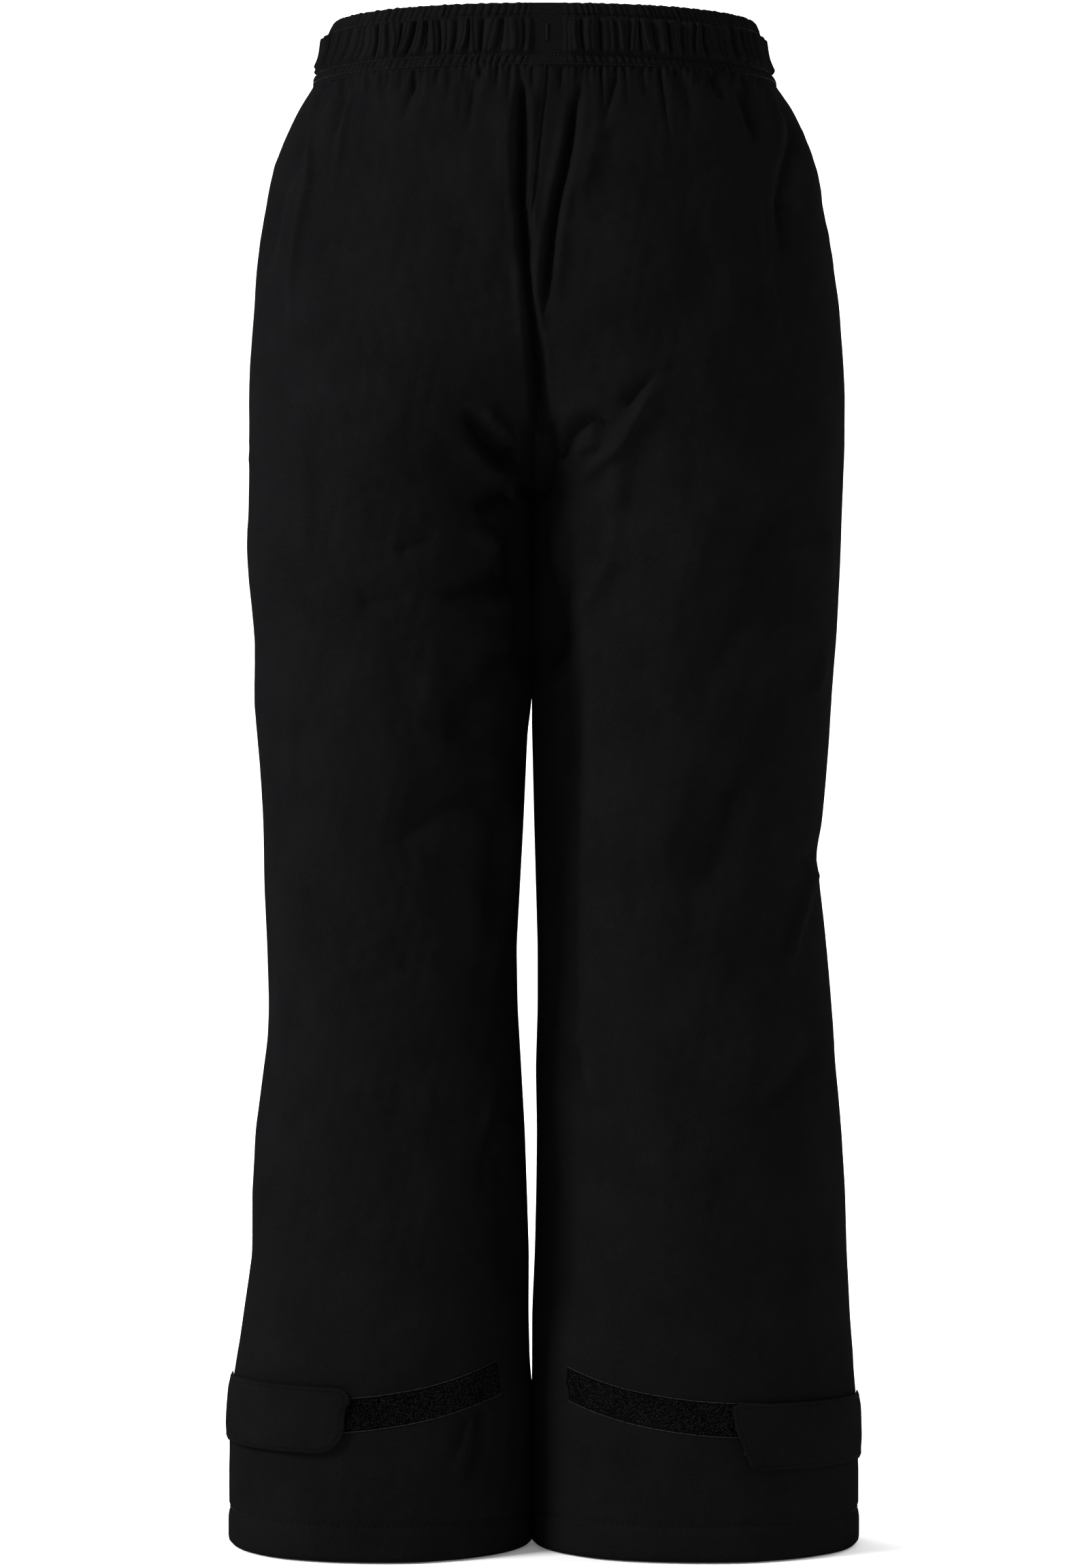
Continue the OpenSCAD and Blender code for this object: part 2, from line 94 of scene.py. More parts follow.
SILR = [[0,175.2],[60,175.4],[76,174.8],[93,173.4],[110,172],[128,170.6],[162,169],[196,168],[230,166],[265,162.6],[282,161.7],[299,160.4],[333,157.6],[368,153.8],[385,151.6],[402,155],[436,158],[470,160.2],[505,163],[539,164.7],[573,166],[608,167.6],[642,168],[659,167],[693,164.6],[710,162],[728,159],[745,156],[762,153],[779,148],[796,142],[806,136.5],[814,130],[820,127],[828,122.4],[836,121.3],[843,121],[850,116]]
WLs, WRs = table(SILL, 4), table(SILR, 4)
XM = table([[0,-7],[596,-7],[640,-3],[664,0],[850,0]], 8)
KB = table([[588,1.0],[596,.96],[606,.89],[618,.78],[632,.62],[648,.47],[664,.36],[719,.18],[774,.05],[816,0],[850,0]], 6)
KF = table([[588,1.0],[596,.96],[606,.88],[618,.75],[632,.55],[648,.3],[664,0],[850,0]], 6)
GL = table([[0,0],[8,-.2],[80,-.2],[88,-.1],[100,1.2],[128,1.9],[162,1.7],[196,2.8],[230,4],[265,6],[299,8],[333,8.6],[402,4.8],[453,2.5],[468,.5],[478,-.3],[588,-.3]], 4)
GR = table([[0,0],[8,-.2],[80,-.2],[88,-.1],[100,.1],[128,.1],[162,1.6],[196,2.4],[230,2.8],[265,2.2],[299,3.2],[333,3.2],[402,1.3],[453,.1],[468,-.2],[588,-.3]], 4)
CY = table([[0,0],[400,2],[588,0],[664,2],[774,4],[850,6]], 12)
RB = table([[0,65],[140,67],[235,70],[330,67],[400,70],[480,79],[552,89],[588,95],[618,102],[664,106],[719,101],[774,91],[816,80],[850,76]], 10)
FY = table([[0,65],[140,63.7],[235,65.2],[330,71.6],[400,74],[480,79.2],[552,85.6],[588,88],[632,87.2],[650,84.6],[664,84],[850,84]], 3)
SEAM = table([[600,-7],[640,-3.2],[659,-3.6],[680,-7],[691,-8],[703,-8],[730,-7],[738,-5.4],[759,-3.4],[778,-1.7],[801,.9],[825,2.8],[850,2.8]], 3)
SH = np.array([0.3, 6.4, 0.0])
SEAM_GAP = 0.0


def base(s, fb, u, z):
    """A point of the outer face: side s (+1 the wearer's right), fb (+1 front), u from the side seam to the
    middle seam or inseam, height z. Also the middle of that leg's cross section."""
    u, z = np.broadcast_arrays(np.asarray(u, float), np.asarray(z, float))
    xm = XM(z)
    w = (WRs(z) if s > 0 else WLs(z)) - s * xm
    k = KB(z) if fb < 0 else KF(z)
    hg = GR(z) if s > 0 else GL(z)
    up = smooth(z, 584, 592)
    c = up * (k * w / (1 + k)) + (1 - up) * (w + hg) / 2
    r = up * (w / (1 + k)) + (1 - up) * (w - hg) / 2
    ry = RB(z) if fb < 0 else FY(z) - CY(z)
    a = np.minimum(np.arccos(np.clip((SEAM_GAP - c) / r, -1, 1)), np.pi - SEAM_GAP / ry)
    t = u * a
    x = xm + s * (c + r * np.cos(t))
    sn = np.sin(t)
    if fb < 0:      # the seat seam drifts off the middle
        dx = (SEAM(z) - xm) * gauss(x - xm, 26) * smooth(z, 600, 640)
        x2 = x + dx
        q = np.abs(x2 - xm)
        near = smooth(z, 600, 640)
        s2 = np.sqrt(np.clip(1 - ((q - c) / r) ** 2, 0, 1))
        sn = np.where(np.abs(dx) > 1e-3, near * s2 + (1 - near) * sn, sn)
        x = x2
    y = CY(z) + fb * ry * sn
    drop = 2.0 * smooth(u, 0, 1) * smooth(z, 700, 818) if fb < 0 else 0 * u
    return np.stack([x, y, z - drop], -1) + SH, np.stack([xm + s * c, CY(z), z], -1) + SH


def frame_of(s, fb, u, z):
    u, z = np.broadcast_arrays(np.asarray(u, float), np.asarray(z, float))
    e = 0.004
    p, mid = base(s, fb, u, z)
    tu = base(s, fb, np.clip(u + e, 0, 1), z)[0] - base(s, fb, np.clip(u - e, 0, 1), z)[0]
    tz = base(s, fb, u, np.clip(z + 1.5, 0, 850))[0] - base(s, fb, u, np.clip(z - 1.5, 0, 850))[0]
    n = np.cross(tu, tz)
    n /= np.linalg.norm(n, axis=-1, keepdims=True) + 1e-12
    out = p - mid
    out[..., 2] = 0
    sign = np.sign((n * out).sum(-1))
    sign[sign == 0] = 1
    n = n * sign[..., None]
    # straight out at the seams, so that neighbours meet
    edge = (smooth(u, 0.9, 1.0) * smooth(z, 588, 600))[..., None]
    n = n * (1 - edge) + edge * np.array([0, float(fb), 0])
    side = (1 - smooth(u, 0, 0.05))[..., None]
    n = n * (1 - side) + side * np.array([float(s), 0, 0])
    inn = (smooth(u, 0.95, 1.0) * (1 - smooth(z, 590, 600)))[..., None]
    n = n * (1 - inn) + inn * np.array([-float(s), 0, 0])
    n /= np.linalg.norm(n, axis=-1, keepdims=True)
    return p, n


def seen(p, fb):
    """Where a point falls in the photo, or in the same view from the front."""
    d = np.abs(p[..., 1] - fb * CAM[1] * -1)
    d = -CAM[1] - fb * p[..., 1]
    return 798 + FOCAL * (p[..., 0] - CAM[0]) / d, 1152.5 - FOCAL * (p[..., 2] - CAM[2]) / d


def wob(x, y, scale, seed, n=9, stretch=1.0):
    r = np.random.RandomState(seed)
    h = np.zeros_like(x, dtype=float)
    for i in range(n):
        a = r.uniform(0, 2 * np.pi)
        k = 2 * np.pi / (scale * r.uniform(0.7, 1.5))
        h += np.sin((np.cos(a) * x + np.sin(a) * y / stretch) * k + r.uniform(0, 6.28))
    return h / math.sqrt(n)


def line_dist(px, py, pts):
    """Distance to a polyline, the side it is on, and the share of the length passed."""
    pts = np.array(pts, float)
    seg = np.linalg.norm(np.diff(pts, axis=0), axis=1)
    tot = seg.sum()
    best = np.full(px.shape, 1e9)
    side = np.zeros(px.shape)
    par = np.zeros(px.shape)
    run = 0.0
    for (a, b, l) in zip(pts[:-1], pts[1:], seg):
        d = (b - a) / l
        t = np.clip((px - a[0]) * d[0] + (py - a[1]) * d[1], 0, l)
        ex, ey = px - a[0] - t * d[0], py - a[1] - t * d[1]
        q = np.hypot(ex, ey)
        m = q < best
        best = np.where(m, q, best)
        side = np.where(m, np.sign(d[0] * ey - d[1] * ex), side)
        par = np.where(m, (run + t) / tot, par)
        run += l
    return best, side, par


def curve(pts, n=4):
    """A smooth polyline through the points."""
    p = np.array(pts, float)
    if len(p) < 3:
        return p
    q = np.vstack([2 * p[0] - p[1], p, 2 * p[-1] - p[-2]])
    out = []
    for i in range(1, len(q) - 2):
        for t in np.linspace(0, 1, n, endpoint=False):
            a, b, c, d = q[i - 1], q[i], q[i + 1], q[i + 2]
            out.append(0.5 * (2 * b + (c - a) * t + (2 * a - 5 * b + 4 * c - d) * t ** 2 + (3 * b - a - 3 * c + d) * t ** 3))
    out.append(p[-1])
    return np.array(out)


# Folds: kind (v valley, r ridge, s one-sided step: high on the left of the line), points in the photo's
# pixels, half width in pixels, height in mm, fade in and out as shares of the length.
BACK_FOLDS = [
    ("v", [(769,104),(768,150),(767,194),(767,291),(770,322),(776,420),(781,470),(789,540),(793,640)], 5.5, 7.0, .10, .05),
    ("v", [(860,112),(846,152),(840,197),(832,242),(823,280),(815,322),(803,420),(796,480)], 5.5, 6.6, .22, .3),
    ("p", [(770,150),(768,291),(776,400)], 20, 3.2, .3, .2),
    ("p", [(779,420),(786,520),(794,620),(796,700)], 13, 6.0, .5, .1),
    ("p", [(797,600),(794,672),(788,740)], 20, 15.0, .25, .25),
    ("p", [(818,800),(824,1000),(823,1300),(822,1700),(820,2010)], 26, 9.0, .12, .12),
    ("p", [(752,1180),(748,1400),(750,1700),(758,1960)], 24, 5.0, .2, .2),
    ("p", [(806,960),(810,1300),(808,1500),(807,1690)], 42, 7.5, .15, .3),
    ("p", [(796,650),(790,760),(792,900),(798,1000)], 12, 7.0, .2, .25),
    ("p", [(786,735),(772,780),(771,840),(786,910),(787,1010)], 25, 16.0, .2, .3),
    ("r", [(742,120),(742,200),(742,300)], 12, 1.6, .3, .4),
    ("r", [(884,160),(868,230),(850,300)], 14, 1.8, .3, .4),
    ("v", [(511,126),(498,170),(474,240)], 6, 2.2, .1, .6),
    ("r", [(521,126),(506,169),(497,227),(483,300)], 6, 1.6, .1, .5),
    ("v", [(1040,108),(1052,132),(1072,160)], 7, 2.4, .1, .5),
    ("v", [(1080,126),(1098,165),(1113,215)], 7, 2.6, .1, .5),
    ("v", [(1000,105),(1010,150),(1016,200)], 6, 1.6, .1, .6),
    ("v", [(905,110),(897,150),(884,200)], 6, 2.0, .1, .6),
    ("v", [(700,108),(694,150),(686,205)], 6, 1.7, .1, .6),
    ("v", [(615,112),(600,150),(586,196)], 6, 1.5, .1, .6),
    ("r", [(483,122),(465,138),(453,175),(451,202),(452,264),(443,306),(436,362),(431,404),(428,462),(427,530)], 6, 2.0, .05, .35),
    ("v", [(474,132),(459,160),(441,215),(425,262)], 8, 1.8, .05, .5),
    ("r", [(446,620),(449,700),(448,845)], 12, 1.0, .3, .3),
    ("r", [(424,1030),(427,1110),(426,1190)], 10, 1.0, .3, .3),
    ("v", [(450,224),(421,264),(408,300),(399,349),(390,398),(382,426)], 8, 2.2, .2, .4),
    ("r", [(1121,120),(1134,138),(1146,175),(1150,212)], 6, 1.6, .05, .4),
    ("v", [(1140,135),(1161,169),(1166,193),(1161,224),(1149,264),(1146,310),(1150,355),(1152,407)], 6, 3.4, .1, .4),
    ("r", [(1120,275),(1126,340),(1131,401),(1140,463),(1152,530)], 6, 1.6, .2, .4),
    ("r", [(1176,200),(1192,262),(1204,330)], 8, 1.0, .3, .4),
    ("v", [(683,592),(690,612),(703,632),(722,655),(741,671),(764,668)], 11, 5.0, .25, .05),
    ("r", [(706,600),(724,622),(752,640)], 14, 2.6, .3, .3),
    ("r", [(668,640),(704,676),(744,703)], 18, 2.4, .4, .2),
    ("v", [(696,752),(716,736),(754,722)], 12, 3.8, .3, .05),
    ("r", [(676,775),(712,790),(740,812)], 18, 2.4, .4, .2),
    ("v", [(640,884),(670,866),(716,850),(748,838)], 15, 2.8, .3, .1),
    ("r", [(690,893),(736,884),(778,872)], 18, 2.2, .4, .2),
    ("v", [(576,812),(610,797),(648,784)], 12, 1.5, .3, .3),
    ("v", [(516,890),(560,884),(612,876)], 13, 1.6, .3, .3),
    ("v", [(764,944),(728,975),(699,1009),(676,1052),(652,1112)], 17, 4.5, .15, .4),
    ("r", [(660,960),(640,1010),(618,1060)], 26, 1.6, .4, .4),
    ("v", [(732,1118),(707,1140),(672,1167),(622,1197),(576,1262)], 19, 2.4, .2, .4),
    ("r", [(715,1190),(676,1220),(630,1262)], 22, .8, .3, .4),
    ("v", [(824,674),(836,650),(853,629),(870,619),(888,628),(912,648)], 10, 3.3, .1, .3),
    ("r", [(848,668),(866,650),(884,662)], 11, 1.6, .3, .3),
    ("v", [(918,606),(936,580),(966,545)], 10, 2.4, .3, .4),
    ("r", [(972,558),(953,580),(932,622),(911,657),(881,682),(840,718)], 12, 2.8, .2, .3),
    ("v", [(905,730),(890,790),(873,852)], 20, 2.6, .3, .4),
    ("r", [(914,650),(903,756),(886,846),(826,940)], 15, 2.6, .2, .3),
    ("v", [(838,760),(830,830),(812,900)], 14, 2.4, .3, .3),
    ("v", [(1145,690),(1122,780),(1096,846),(1051,989),(1016,1095)], 36, 4.2, .25, .3),
    ("r", [(1054,700),(1030,800),(1000,900)], 40, 2.2, .3, .4),
    ("v", [(1157,927),(1128,1020),(1100,1103),(1068,1164),(1050,1240),(1037,1287),(1000,1316),(950,1334)], 30, 3.8, .2, .3),
    ("r", [(1010,1130),(990,1200),(940,1260)], 34, 2.0, .3, .4),
    ("r", [(1216,770),(1213,860)], 9, 1.4, .3, .3),
    ("r", [(1211,955),(1202,995),(1188,1034)], 9, 1.8, .3, .3),
    ("v", [(1199,1258),(1186,1262),(1172,1270)], 9, 2.4, .05, .4),
    ("r", [(1197,1274),(1178,1336),(1161,1407),(1149,1460)], 8, 2.2, .1, .4),
    ("v", [(870,1200),(884,1228),(895,1248)], 12, 1.2, .3, .2),
    ("r", [(857,1540),(866,1584),(886,1632)], 16, 2.4, .3, .3),
    ("v", [(828,1530),(838,1590),(852,1660)], 16, 2.2, .3, .3),
    ("v", [(1219,1523),(1160,1585),(1099,1664)], 20, 2.4, .2, .4),
    ("v", [(524,1472),(552,1444),(592,1423)], 20, .9, .3, .3),
    ("v", [(474,1444),(500,1480),(534,1518)], 20, .8, .3, .3),
    ("r", [(767,1160),(755,1307),(734,1390),(719,1490)], 10, 2.4, .2, .3),
    ("v", [(742,1180),(728,1300),(708,1384)], 13, 2.6, .2, .4),
    ("r", [(756,1500),(740,1550),(725,1598),(705,1690)], 10, 2.2, .2, .3),
    ("r", [(760,1630),(750,1665),(734,1706)], 9, 1.8, .3, .3),
    ("v", [(736,1640),(722,1700),(700,1780)], 13, 2.0, .3, .4),
    ("v", [(708,2066),(704,2120),(691,2162),(687,2200)], 6, 3.4, .05, .4),
    ("v", [(686,2080),(673,2113),(662,2160)], 6, 2.3, .1, .5),
    ("v", [(766,2074),(755,2110),(748,2140)], 5, 1.2, .2, .4),
    ("v", [(769,2130),(750,2188),(733,2226)], 5, 1.5, .2, .3),
    ("v", [(1164,2160),(1170,2200),(1176,2236)], 6, .7, .3, .3),
    ("v", [(860,2120),(868,2160),(866,2210)], 10, 1.0, .3, .3),
    ("v", [(1228,2186),(1236,2222),(1242,2250)], 6, 1.0, .3, .2),
]
FRONT_FOLDS = [
    ("v", [(838,706),(884,676),(948,650)], 13, 3.4, .1, .4),
    ("v", [(832,768),(880,742),(930,736)], 14, 2.8, .1, .4),
    ("r", [(846,742),(900,710),(960,690)], 16, 1.8, .2, .4),
    ("v", [(760,712),(706,678),(640,664)], 13, 3.4, .1, .4),
    ("v", [(764,780),(712,766),(650,776)], 14, 2.8, .1, .4),
    ("r", [(752,748),(700,722),(646,716)], 16, 1.8, .2, .4),
    ("v", [(812,880),(860,862),(910,872)], 14, 2.2, .2, .4),
    ("v", [(776,900),(728,880),(690,890)], 14, 2.2, .2, .4),
    ("r", [(1016,820),(1026,1000),(1020,1250)], 42, 3.0, .3, .3),
    ("r", [(566,820),(560,1000),(568,1250)], 42, 3.0, .3, .3),
    ("v", [(1180,1170),(1110,1216),(1020,1230)], 18, 2.6, .2, .4),
    ("v", [(1190,1290),(1120,1310),(1060,1290)], 15, 2.0, .2, .4),
    ("v", [(410,1180),(470,1222),(560,1236)], 18, 2.6, .2, .4),
    ("v", [(404,1310),(470,1322),(520,1300)], 15, 2.0, .2, .4),
    ("v", [(1068,1360),(1040,1540),(1046,1760)], 30, 2.8, .3, .3),
    ("v", [(520,1360),(548,1540),(536,1760)], 30, 2.8, .3, .3),
    ("v", [(1150,1850),(1090,1900),(1010,1920)], 16, 1.8, .3, .3),
    ("v", [(470,1880),(530,1920),(600,1916)], 16, 1.8, .3, .3),
    ("r", [(400,1548),(384,1640),(384,1751)], 18, 1.6, .3, .3),
]
for _x0 in list(np.arange(490, 780, 17.0)) + list(np.arange(832, 1118, 17.0)):
    _x = _x0 + rng.uniform(-6, 6)
    _t = (_x - 803) / 330
    _y = 97 + 21 * _t * _t
    _l = rng.choice([34, 48, 70, 105], p=[.35, .3, .22, .13]) * rng.uniform(.8, 1.2)
    _dx = _t * 0.36 * _l + rng.uniform(-5, 5)
    BACK_FOLDS.append(("v", [(_x, _y), (_x + .45 * _dx, _y + .5 * _l), (_x + _dx, _y + _l)], rng.uniform(3.2, 5.5), rng.uniform(.7, 1.7), .02, .7))
for _x0 in list(np.arange(490, 690, 17.0)) + list(np.arange(900, 1118, 17.0)):
    _x = _x0 + rng.uniform(-6, 6)
    _t = (_x - 800) / 330
    _l = rng.choice([40, 60, 90, 130], p=[.3, .3, .25, .15]) * rng.uniform(.8, 1.2)
    _dx = _t * 0.3 * _l + rng.uniform(-5, 5)
    FRONT_FOLDS.append(("v", [(_x, 98 + 6 * _t * _t), (_x + .45 * _dx, 98 + .5 * _l), (_x + _dx, 98 + _l)], rng.uniform(3.5, 6), rng.uniform(.8, 1.9), .02, .7))


def folds(px, py, which):
    h = np.zeros(px.shape)
    for kind, pts, w, a, f0, f1 in which:
        pts = curve(pts)
        reach = 4.5 * w
        m = (px > pts[:, 0].min() - reach) & (px < pts[:, 0].max() + reach) & (py > pts[:, 1].min() - reach) & (py < pts[:, 1].max() + reach)
        if not m.any():
            continue
        d, side, par = line_dist(px[m], py[m], pts)
        f = smooth(par, -1e-3, f0) * smooth(1 - par, -1e-3, f1)
        a = a * (1.0 if a > 6.5 or w < 7 else 1.5)
        if kind == "v":
            cusp = np.exp(-(np.sqrt(d * d + (.35 * w) ** 2) - .35 * w) / (.72 * w))
            soft = gauss(d, w)
            c = float(np.clip((20 - w) / 10, .15, 1))
            v = -a * (c * cusp + (1 - c) * soft) + 0.25 * a * gauss(d - 2.6 * w, 1.6 * w)
        elif kind == "p":
            v = -a / 1.5 * gauss(d, w)
        elif kind == "r":
            v = a * gauss(d, w) - 0.12 * a * gauss(d - 2.4 * w, 1.6 * w)
        else:
            v = a * side * (d / w) * gauss(d, w) * 1.6
        h[m] += v * f
    return h


STRIP_Z = {-1: ([.2,.444,.53,.61,.70,.79], [66.5,71,73.6,77,82.3,88.6]), 1: ([.2,.455,.54,.622,.70,.79], [64,68.4,70.6,74,78.6,84.8])}
POCKET_U = (0.272, 0.328)


def height(s, fb, u, z, p):
    """How far the cloth stands out of its plain surface."""
    px, py = seen(p, fb)
    h = folds(px, py, BACK_FOLDS if fb < 0 else FRONT_FOLDS)
    low = 1 - smooth(z, 110, 220)
    h = h + (1 - .5 * low) * (1.0 * wob(px, py, 210, 3 + fb, stretch=2.6) + 0.38 * wob(px + 9 * wob(px, py, 90, 5), py, 62, 11 + fb, stretch=2.0) + .15 * wob(px, py, 21, 17 + fb, n=14, stretch=1.5))
    # ripples just under the waistband
    row = 97 + 21 * ((px - 803) / 330) ** 2
    rip = np.clip(py - row, 0, 200)
    calm = smooth(np.abs(px - 806), 20, 36) if fb < 0 else smooth(np.abs(px - 800), 96, 130)
    h = h + .55 * np.exp(-rip / 15) * np.sin(2 * np.pi * (px + 5 * np.sin(px / 23)) / 11.0) * calm
    h = h - .7 * smooth(z, 810, 816)
    # seams hold the cloth in
    h = h * smooth(u, 0.0, 0.09)
    h = h * (1 - smooth(u, 0.9, 1.0) * (1 - smooth(z, 598, 626)))
    arc = np.minimum(u, 1 - u * (1 - smooth(z, 560, 600))) if False else u
    h = h - .8 * gauss(arc * 240, 1.6) + .35 * gauss(arc * 240 - 5, 3)
    inn = (1 - u) * 240
    h = h + .1 * gauss(inn, 1.6) * (1 - smooth(z, 590, 620))
    if fb < 0:
        zt = z
        tabs = smooth(u, -.1, 0) * (1 - smooth(u, .46, .52)) * smooth(zt, 40, 52) * (1 - smooth(zt, 96, 108))
        uu, zz = STRIP_Z[s]
        c = np.interp(u, uu, zz) + 10
        strip = gauss(np.clip(np.abs(zt - c) - 9, 0, 99), 4) * smooth(u, .3, .4) * (1 - smooth(u, .80, .86))
        h = h * (1 - .9 * np.maximum(tabs, strip))
        # the seat seam and its topstitch
        g = (1 - u) * 250
        top = smooth(z, 640, 690)
        h = h - .8 * gauss(g, 1.3) * top
        if s < 0:
            h = h + top * (.3 * gauss(g - 1.6, 1.2) - .3 * gauss(g - 2.9, .8))
    else:
        fly = (1 - smooth(np.abs(p[..., 0] - .3), 20, 40)) * smooth(z, 640, 664)
        h = h * (1 - fly)
        pk = smooth(u, .2, .262) * (1 - smooth(u, .338, .4)) * smooth(z, 596, 626) * (1 - smooth(z, 778, 796))
        h = h * (1 - pk) - .35 * pk
    # turned-up hem: a little fuller, drawn in at its stitches, rolled at the edge
    h = h + .45 * smooth(z, .5, 5) * (1 - smooth(z, 14, 19)) - .75 * gauss(z - 20.5, 1.5) * (1 - smooth(u, .9, 1)) - 1.6 * (1 - smooth(z, 0, 2.6)) ** 2
    return h


INNER = {}
ZI = np.arange(0, 852, 2.0)
UI = np.linspace(0, 1, 161)


def inner_height(s, fb, u, z):
    """The height the layers behind the shell follow: never above the shell's, and smoother."""
    if (s, fb) not in INNER:
        U, Z = np.meshgrid(UI, ZI)
        p, _ = base(s, fb, U, Z)
        h = height(s, fb, U, Z, p)
        for _ in range(3):
            q = np.pad(h, 1, mode="edge")
            h = np.minimum.reduce([q[1:-1, 1:-1], q[:-2, 1:-1], q[2:, 1:-1], q[1:-1, :-2], q[1:-1, 2:]])
        for _ in range(5):
            q = np.pad(h, 1, mode="edge")
            h = np.minimum(h, (q[1:-1, 1:-1] * 2 + q[:-2, 1:-1] + q[2:, 1:-1] + q[1:-1, :-2] + q[1:-1, 2:]) / 6)
        INNER[(s, fb)] = h
    h = INNER[(s, fb)]
    fi = np.clip(np.asarray(z, float) / 2.0, 0, len(ZI) - 1.001)
    fj = np.clip(np.asarray(u, float) * 160, 0, 159.999)
    i, j = fi.astype(int), fj.astype(int)
    a, b = fi - i, fj - j
    return (h[i, j] * (1 - a) * (1 - b) + h[i + 1, j] * a * (1 - b) + h[i, j + 1] * (1 - a) * b + h[i + 1, j + 1] * a * b)


def S(s, fb, u, z, off=0.0, follow=1.0):
    p, n = frame_of(s, fb, u, z)
    u, z = (a.astype(float) for a in np.broadcast_arrays(u, z))
    h = 0
    if follow == "in":
        h = inner_height(s, fb, u, z)
    elif follow:
        h = height(s, fb, u, z, p)
    return p + n * (h + off)[..., None] if not np.isscalar(h + off) else p + n * (h + off), n


# ---------------------------------------------------------------- meshes
def solid(outer, inner, mask=None, wrap=False):
    """A closed mesh between two grids of points. Cells that are False in mask are left out."""
    nz, nu = outer.shape[:2]
    cols = nu if wrap else nu - 1
    mask = np.ones((nz - 1, cols), bool) if mask is None else mask
    o = np.arange(nz * nu).reshape(nz, nu)
    i = o + nz * nu
    if wrap:
        o = np.hstack([o, o[:, :1]])
        i = np.hstack([i, i[:, :1]])
    f = [np.stack([o[:-1, :-1], o[:-1, 1:], o[1:, 1:], o[1:, :-1]], -1)[mask],
         np.stack([i[:-1, :-1], i[1:, :-1], i[1:, 1:], i[:-1, 1:]], -1)[mask]]
    m = np.zeros((nz + 1, cols), bool)
    m[1:-1] = mask
    up, dn = m[:-1], m[1:]          # the cells above and below each row of edges
    a, b, c, d = o[:, :-1], o[:, 1:], i[:, 1:], i[:, :-1]
    e = dn & ~up
    f.append(np.stack([a, d, c, b], -1)[e])
    e = up & ~dn
    f.append(np.stack([a, b, c, d], -1)[e])
    if wrap:
        left = np.hstack([mask[:, -1:], mask])
        right = np.hstack([mask, mask[:, :1]])
        left, right = left[:, :-1], right[:, :-1]
        oo, ii = o[:, :-1], i[:, :-1]
    else:
        left = np.hstack([np.zeros((nz - 1, 1), bool), mask])
        right = np.hstack([mask, np.zeros((nz - 1, 1), bool)])
        oo, ii = o, i
    a, b, c, d = oo[:-1], oo[1:], ii[1:], ii[:-1]
    e = right & ~left
    f.append(np.stack([a, b, c, d], -1)[e])
    e = left & ~right
    f.append(np.stack([a, d, c, b], -1)[e])
    v = np.concatenate([outer.reshape(-1, 3), inner.reshape(-1, 3)])
    f = np.concatenate(f)
    k = f[len(f) // 5]
    # the first faces are the outer ones: they look away from the inner grid
    t = np.arange(0, mask.sum(), max(1, mask.sum() // 200))
    q = f[t]
    n = np.cross(v[q[:, 2]] - v[q[:, 0]], v[q[:, 3]] - v[q[:, 1]])
    away = v[q[:, 0]] - v[q[:, 0] + nz * nu]
    if (n * away).sum() < 0:
        f = f[:, ::-1]
    return v, f


def cat(parts):
    vs, fs, k = [], [], 0
    for v, f in parts:
        vs.append(v)
        fs.append(f + k)
        k += len(v)
    return np.concatenate(vs), np.concatenate(fs)


MADE = []


def add(name, vf, mat, body="garment", uv=None, rep=(), sharp=50, flat=False, ride=True):
    v, f = vf
    used, inv = np.unique(f, return_inverse=True)
    f = inv.reshape(f.shape)
    v = v[used]
    me = bpy.data.meshes.new(name)
    nf, k = f.shape
    me.vertices.add(len(v))
    me.vertices.foreach_set("co", (v / 1000).astype(np.float32).ravel())
    me.loops.add(nf * k)
    me.loops.foreach_set("vertex_index", f.astype(np.int32).ravel())
    me.polygons.add(nf)
    me.polygons.foreach_set("loop_start", np.arange(0, nf * k, k, dtype=np.int32))
    me.polygons.foreach_set("loop_total", np.full(nf, k, dtype=np.int32))
    me.polygons.foreach_set("use_smooth", np.full(nf, not flat))
    me.update(calc_edges=True)
    me.validate()
    if uv is not None:
        layer = me.uv_layers.new(name="UVMap")
        uvv = uv.reshape(-1, 2)
        uvv = np.concatenate([uvv, uvv])[used] if len(uvv) * 2 >= used.max() + 1 and len(uvv) < used.max() + 1 else uvv[used]
        li = np.empty(len(me.loops), dtype=np.int32)
        me.loops.foreach_get("vertex_index", li)
        layer.data.foreach_set("uv", uvv[li].astype(np.float32).ravel())
    if not flat and sharp:
        me.set_sharp_from_angle(angle=math.radians(sharp))
    o = bpy.data.objects.new(name, me)
    scene.collection.objects.link(o)
    me.materials.append(mat)
    if rep:
        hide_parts(*rep)
    if ride:
        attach(o, body)
    MADE.append(o)
    return o


def unit(v):
    return v / (np.linalg.norm(v, axis=-1, keepdims=True) + 1e-12)


def resample(p, n, pitch, closed=False, ends=0.0):
    """Points each pitch along a path, with the tangent and normal there."""
    if closed:
        p, n = np.vstack([p, p[:1]]), np.vstack([n, n[:1]])
    l = np.concatenate([[0], np.cumsum(np.linalg.norm(np.diff(p, axis=0), axis=1))])
    k = max(1, int(round((l[-1] - 2 * ends) / pitch)))
    t = ends + (np.arange(k) + .5) * (l[-1] - 2 * ends) / k
    g = lambda a, q: np.stack([np.interp(q, l, a[:, i]) for i in range(3)], -1)
    c = g(p, t)
    e = pitch * .3
    tan = unit(g(p, t + e) - g(p, t - e))
    nn = g(n, t)
    nn = unit(nn - (nn * tan).sum(-1, keepdims=True) * tan)
    return c, tan, nn


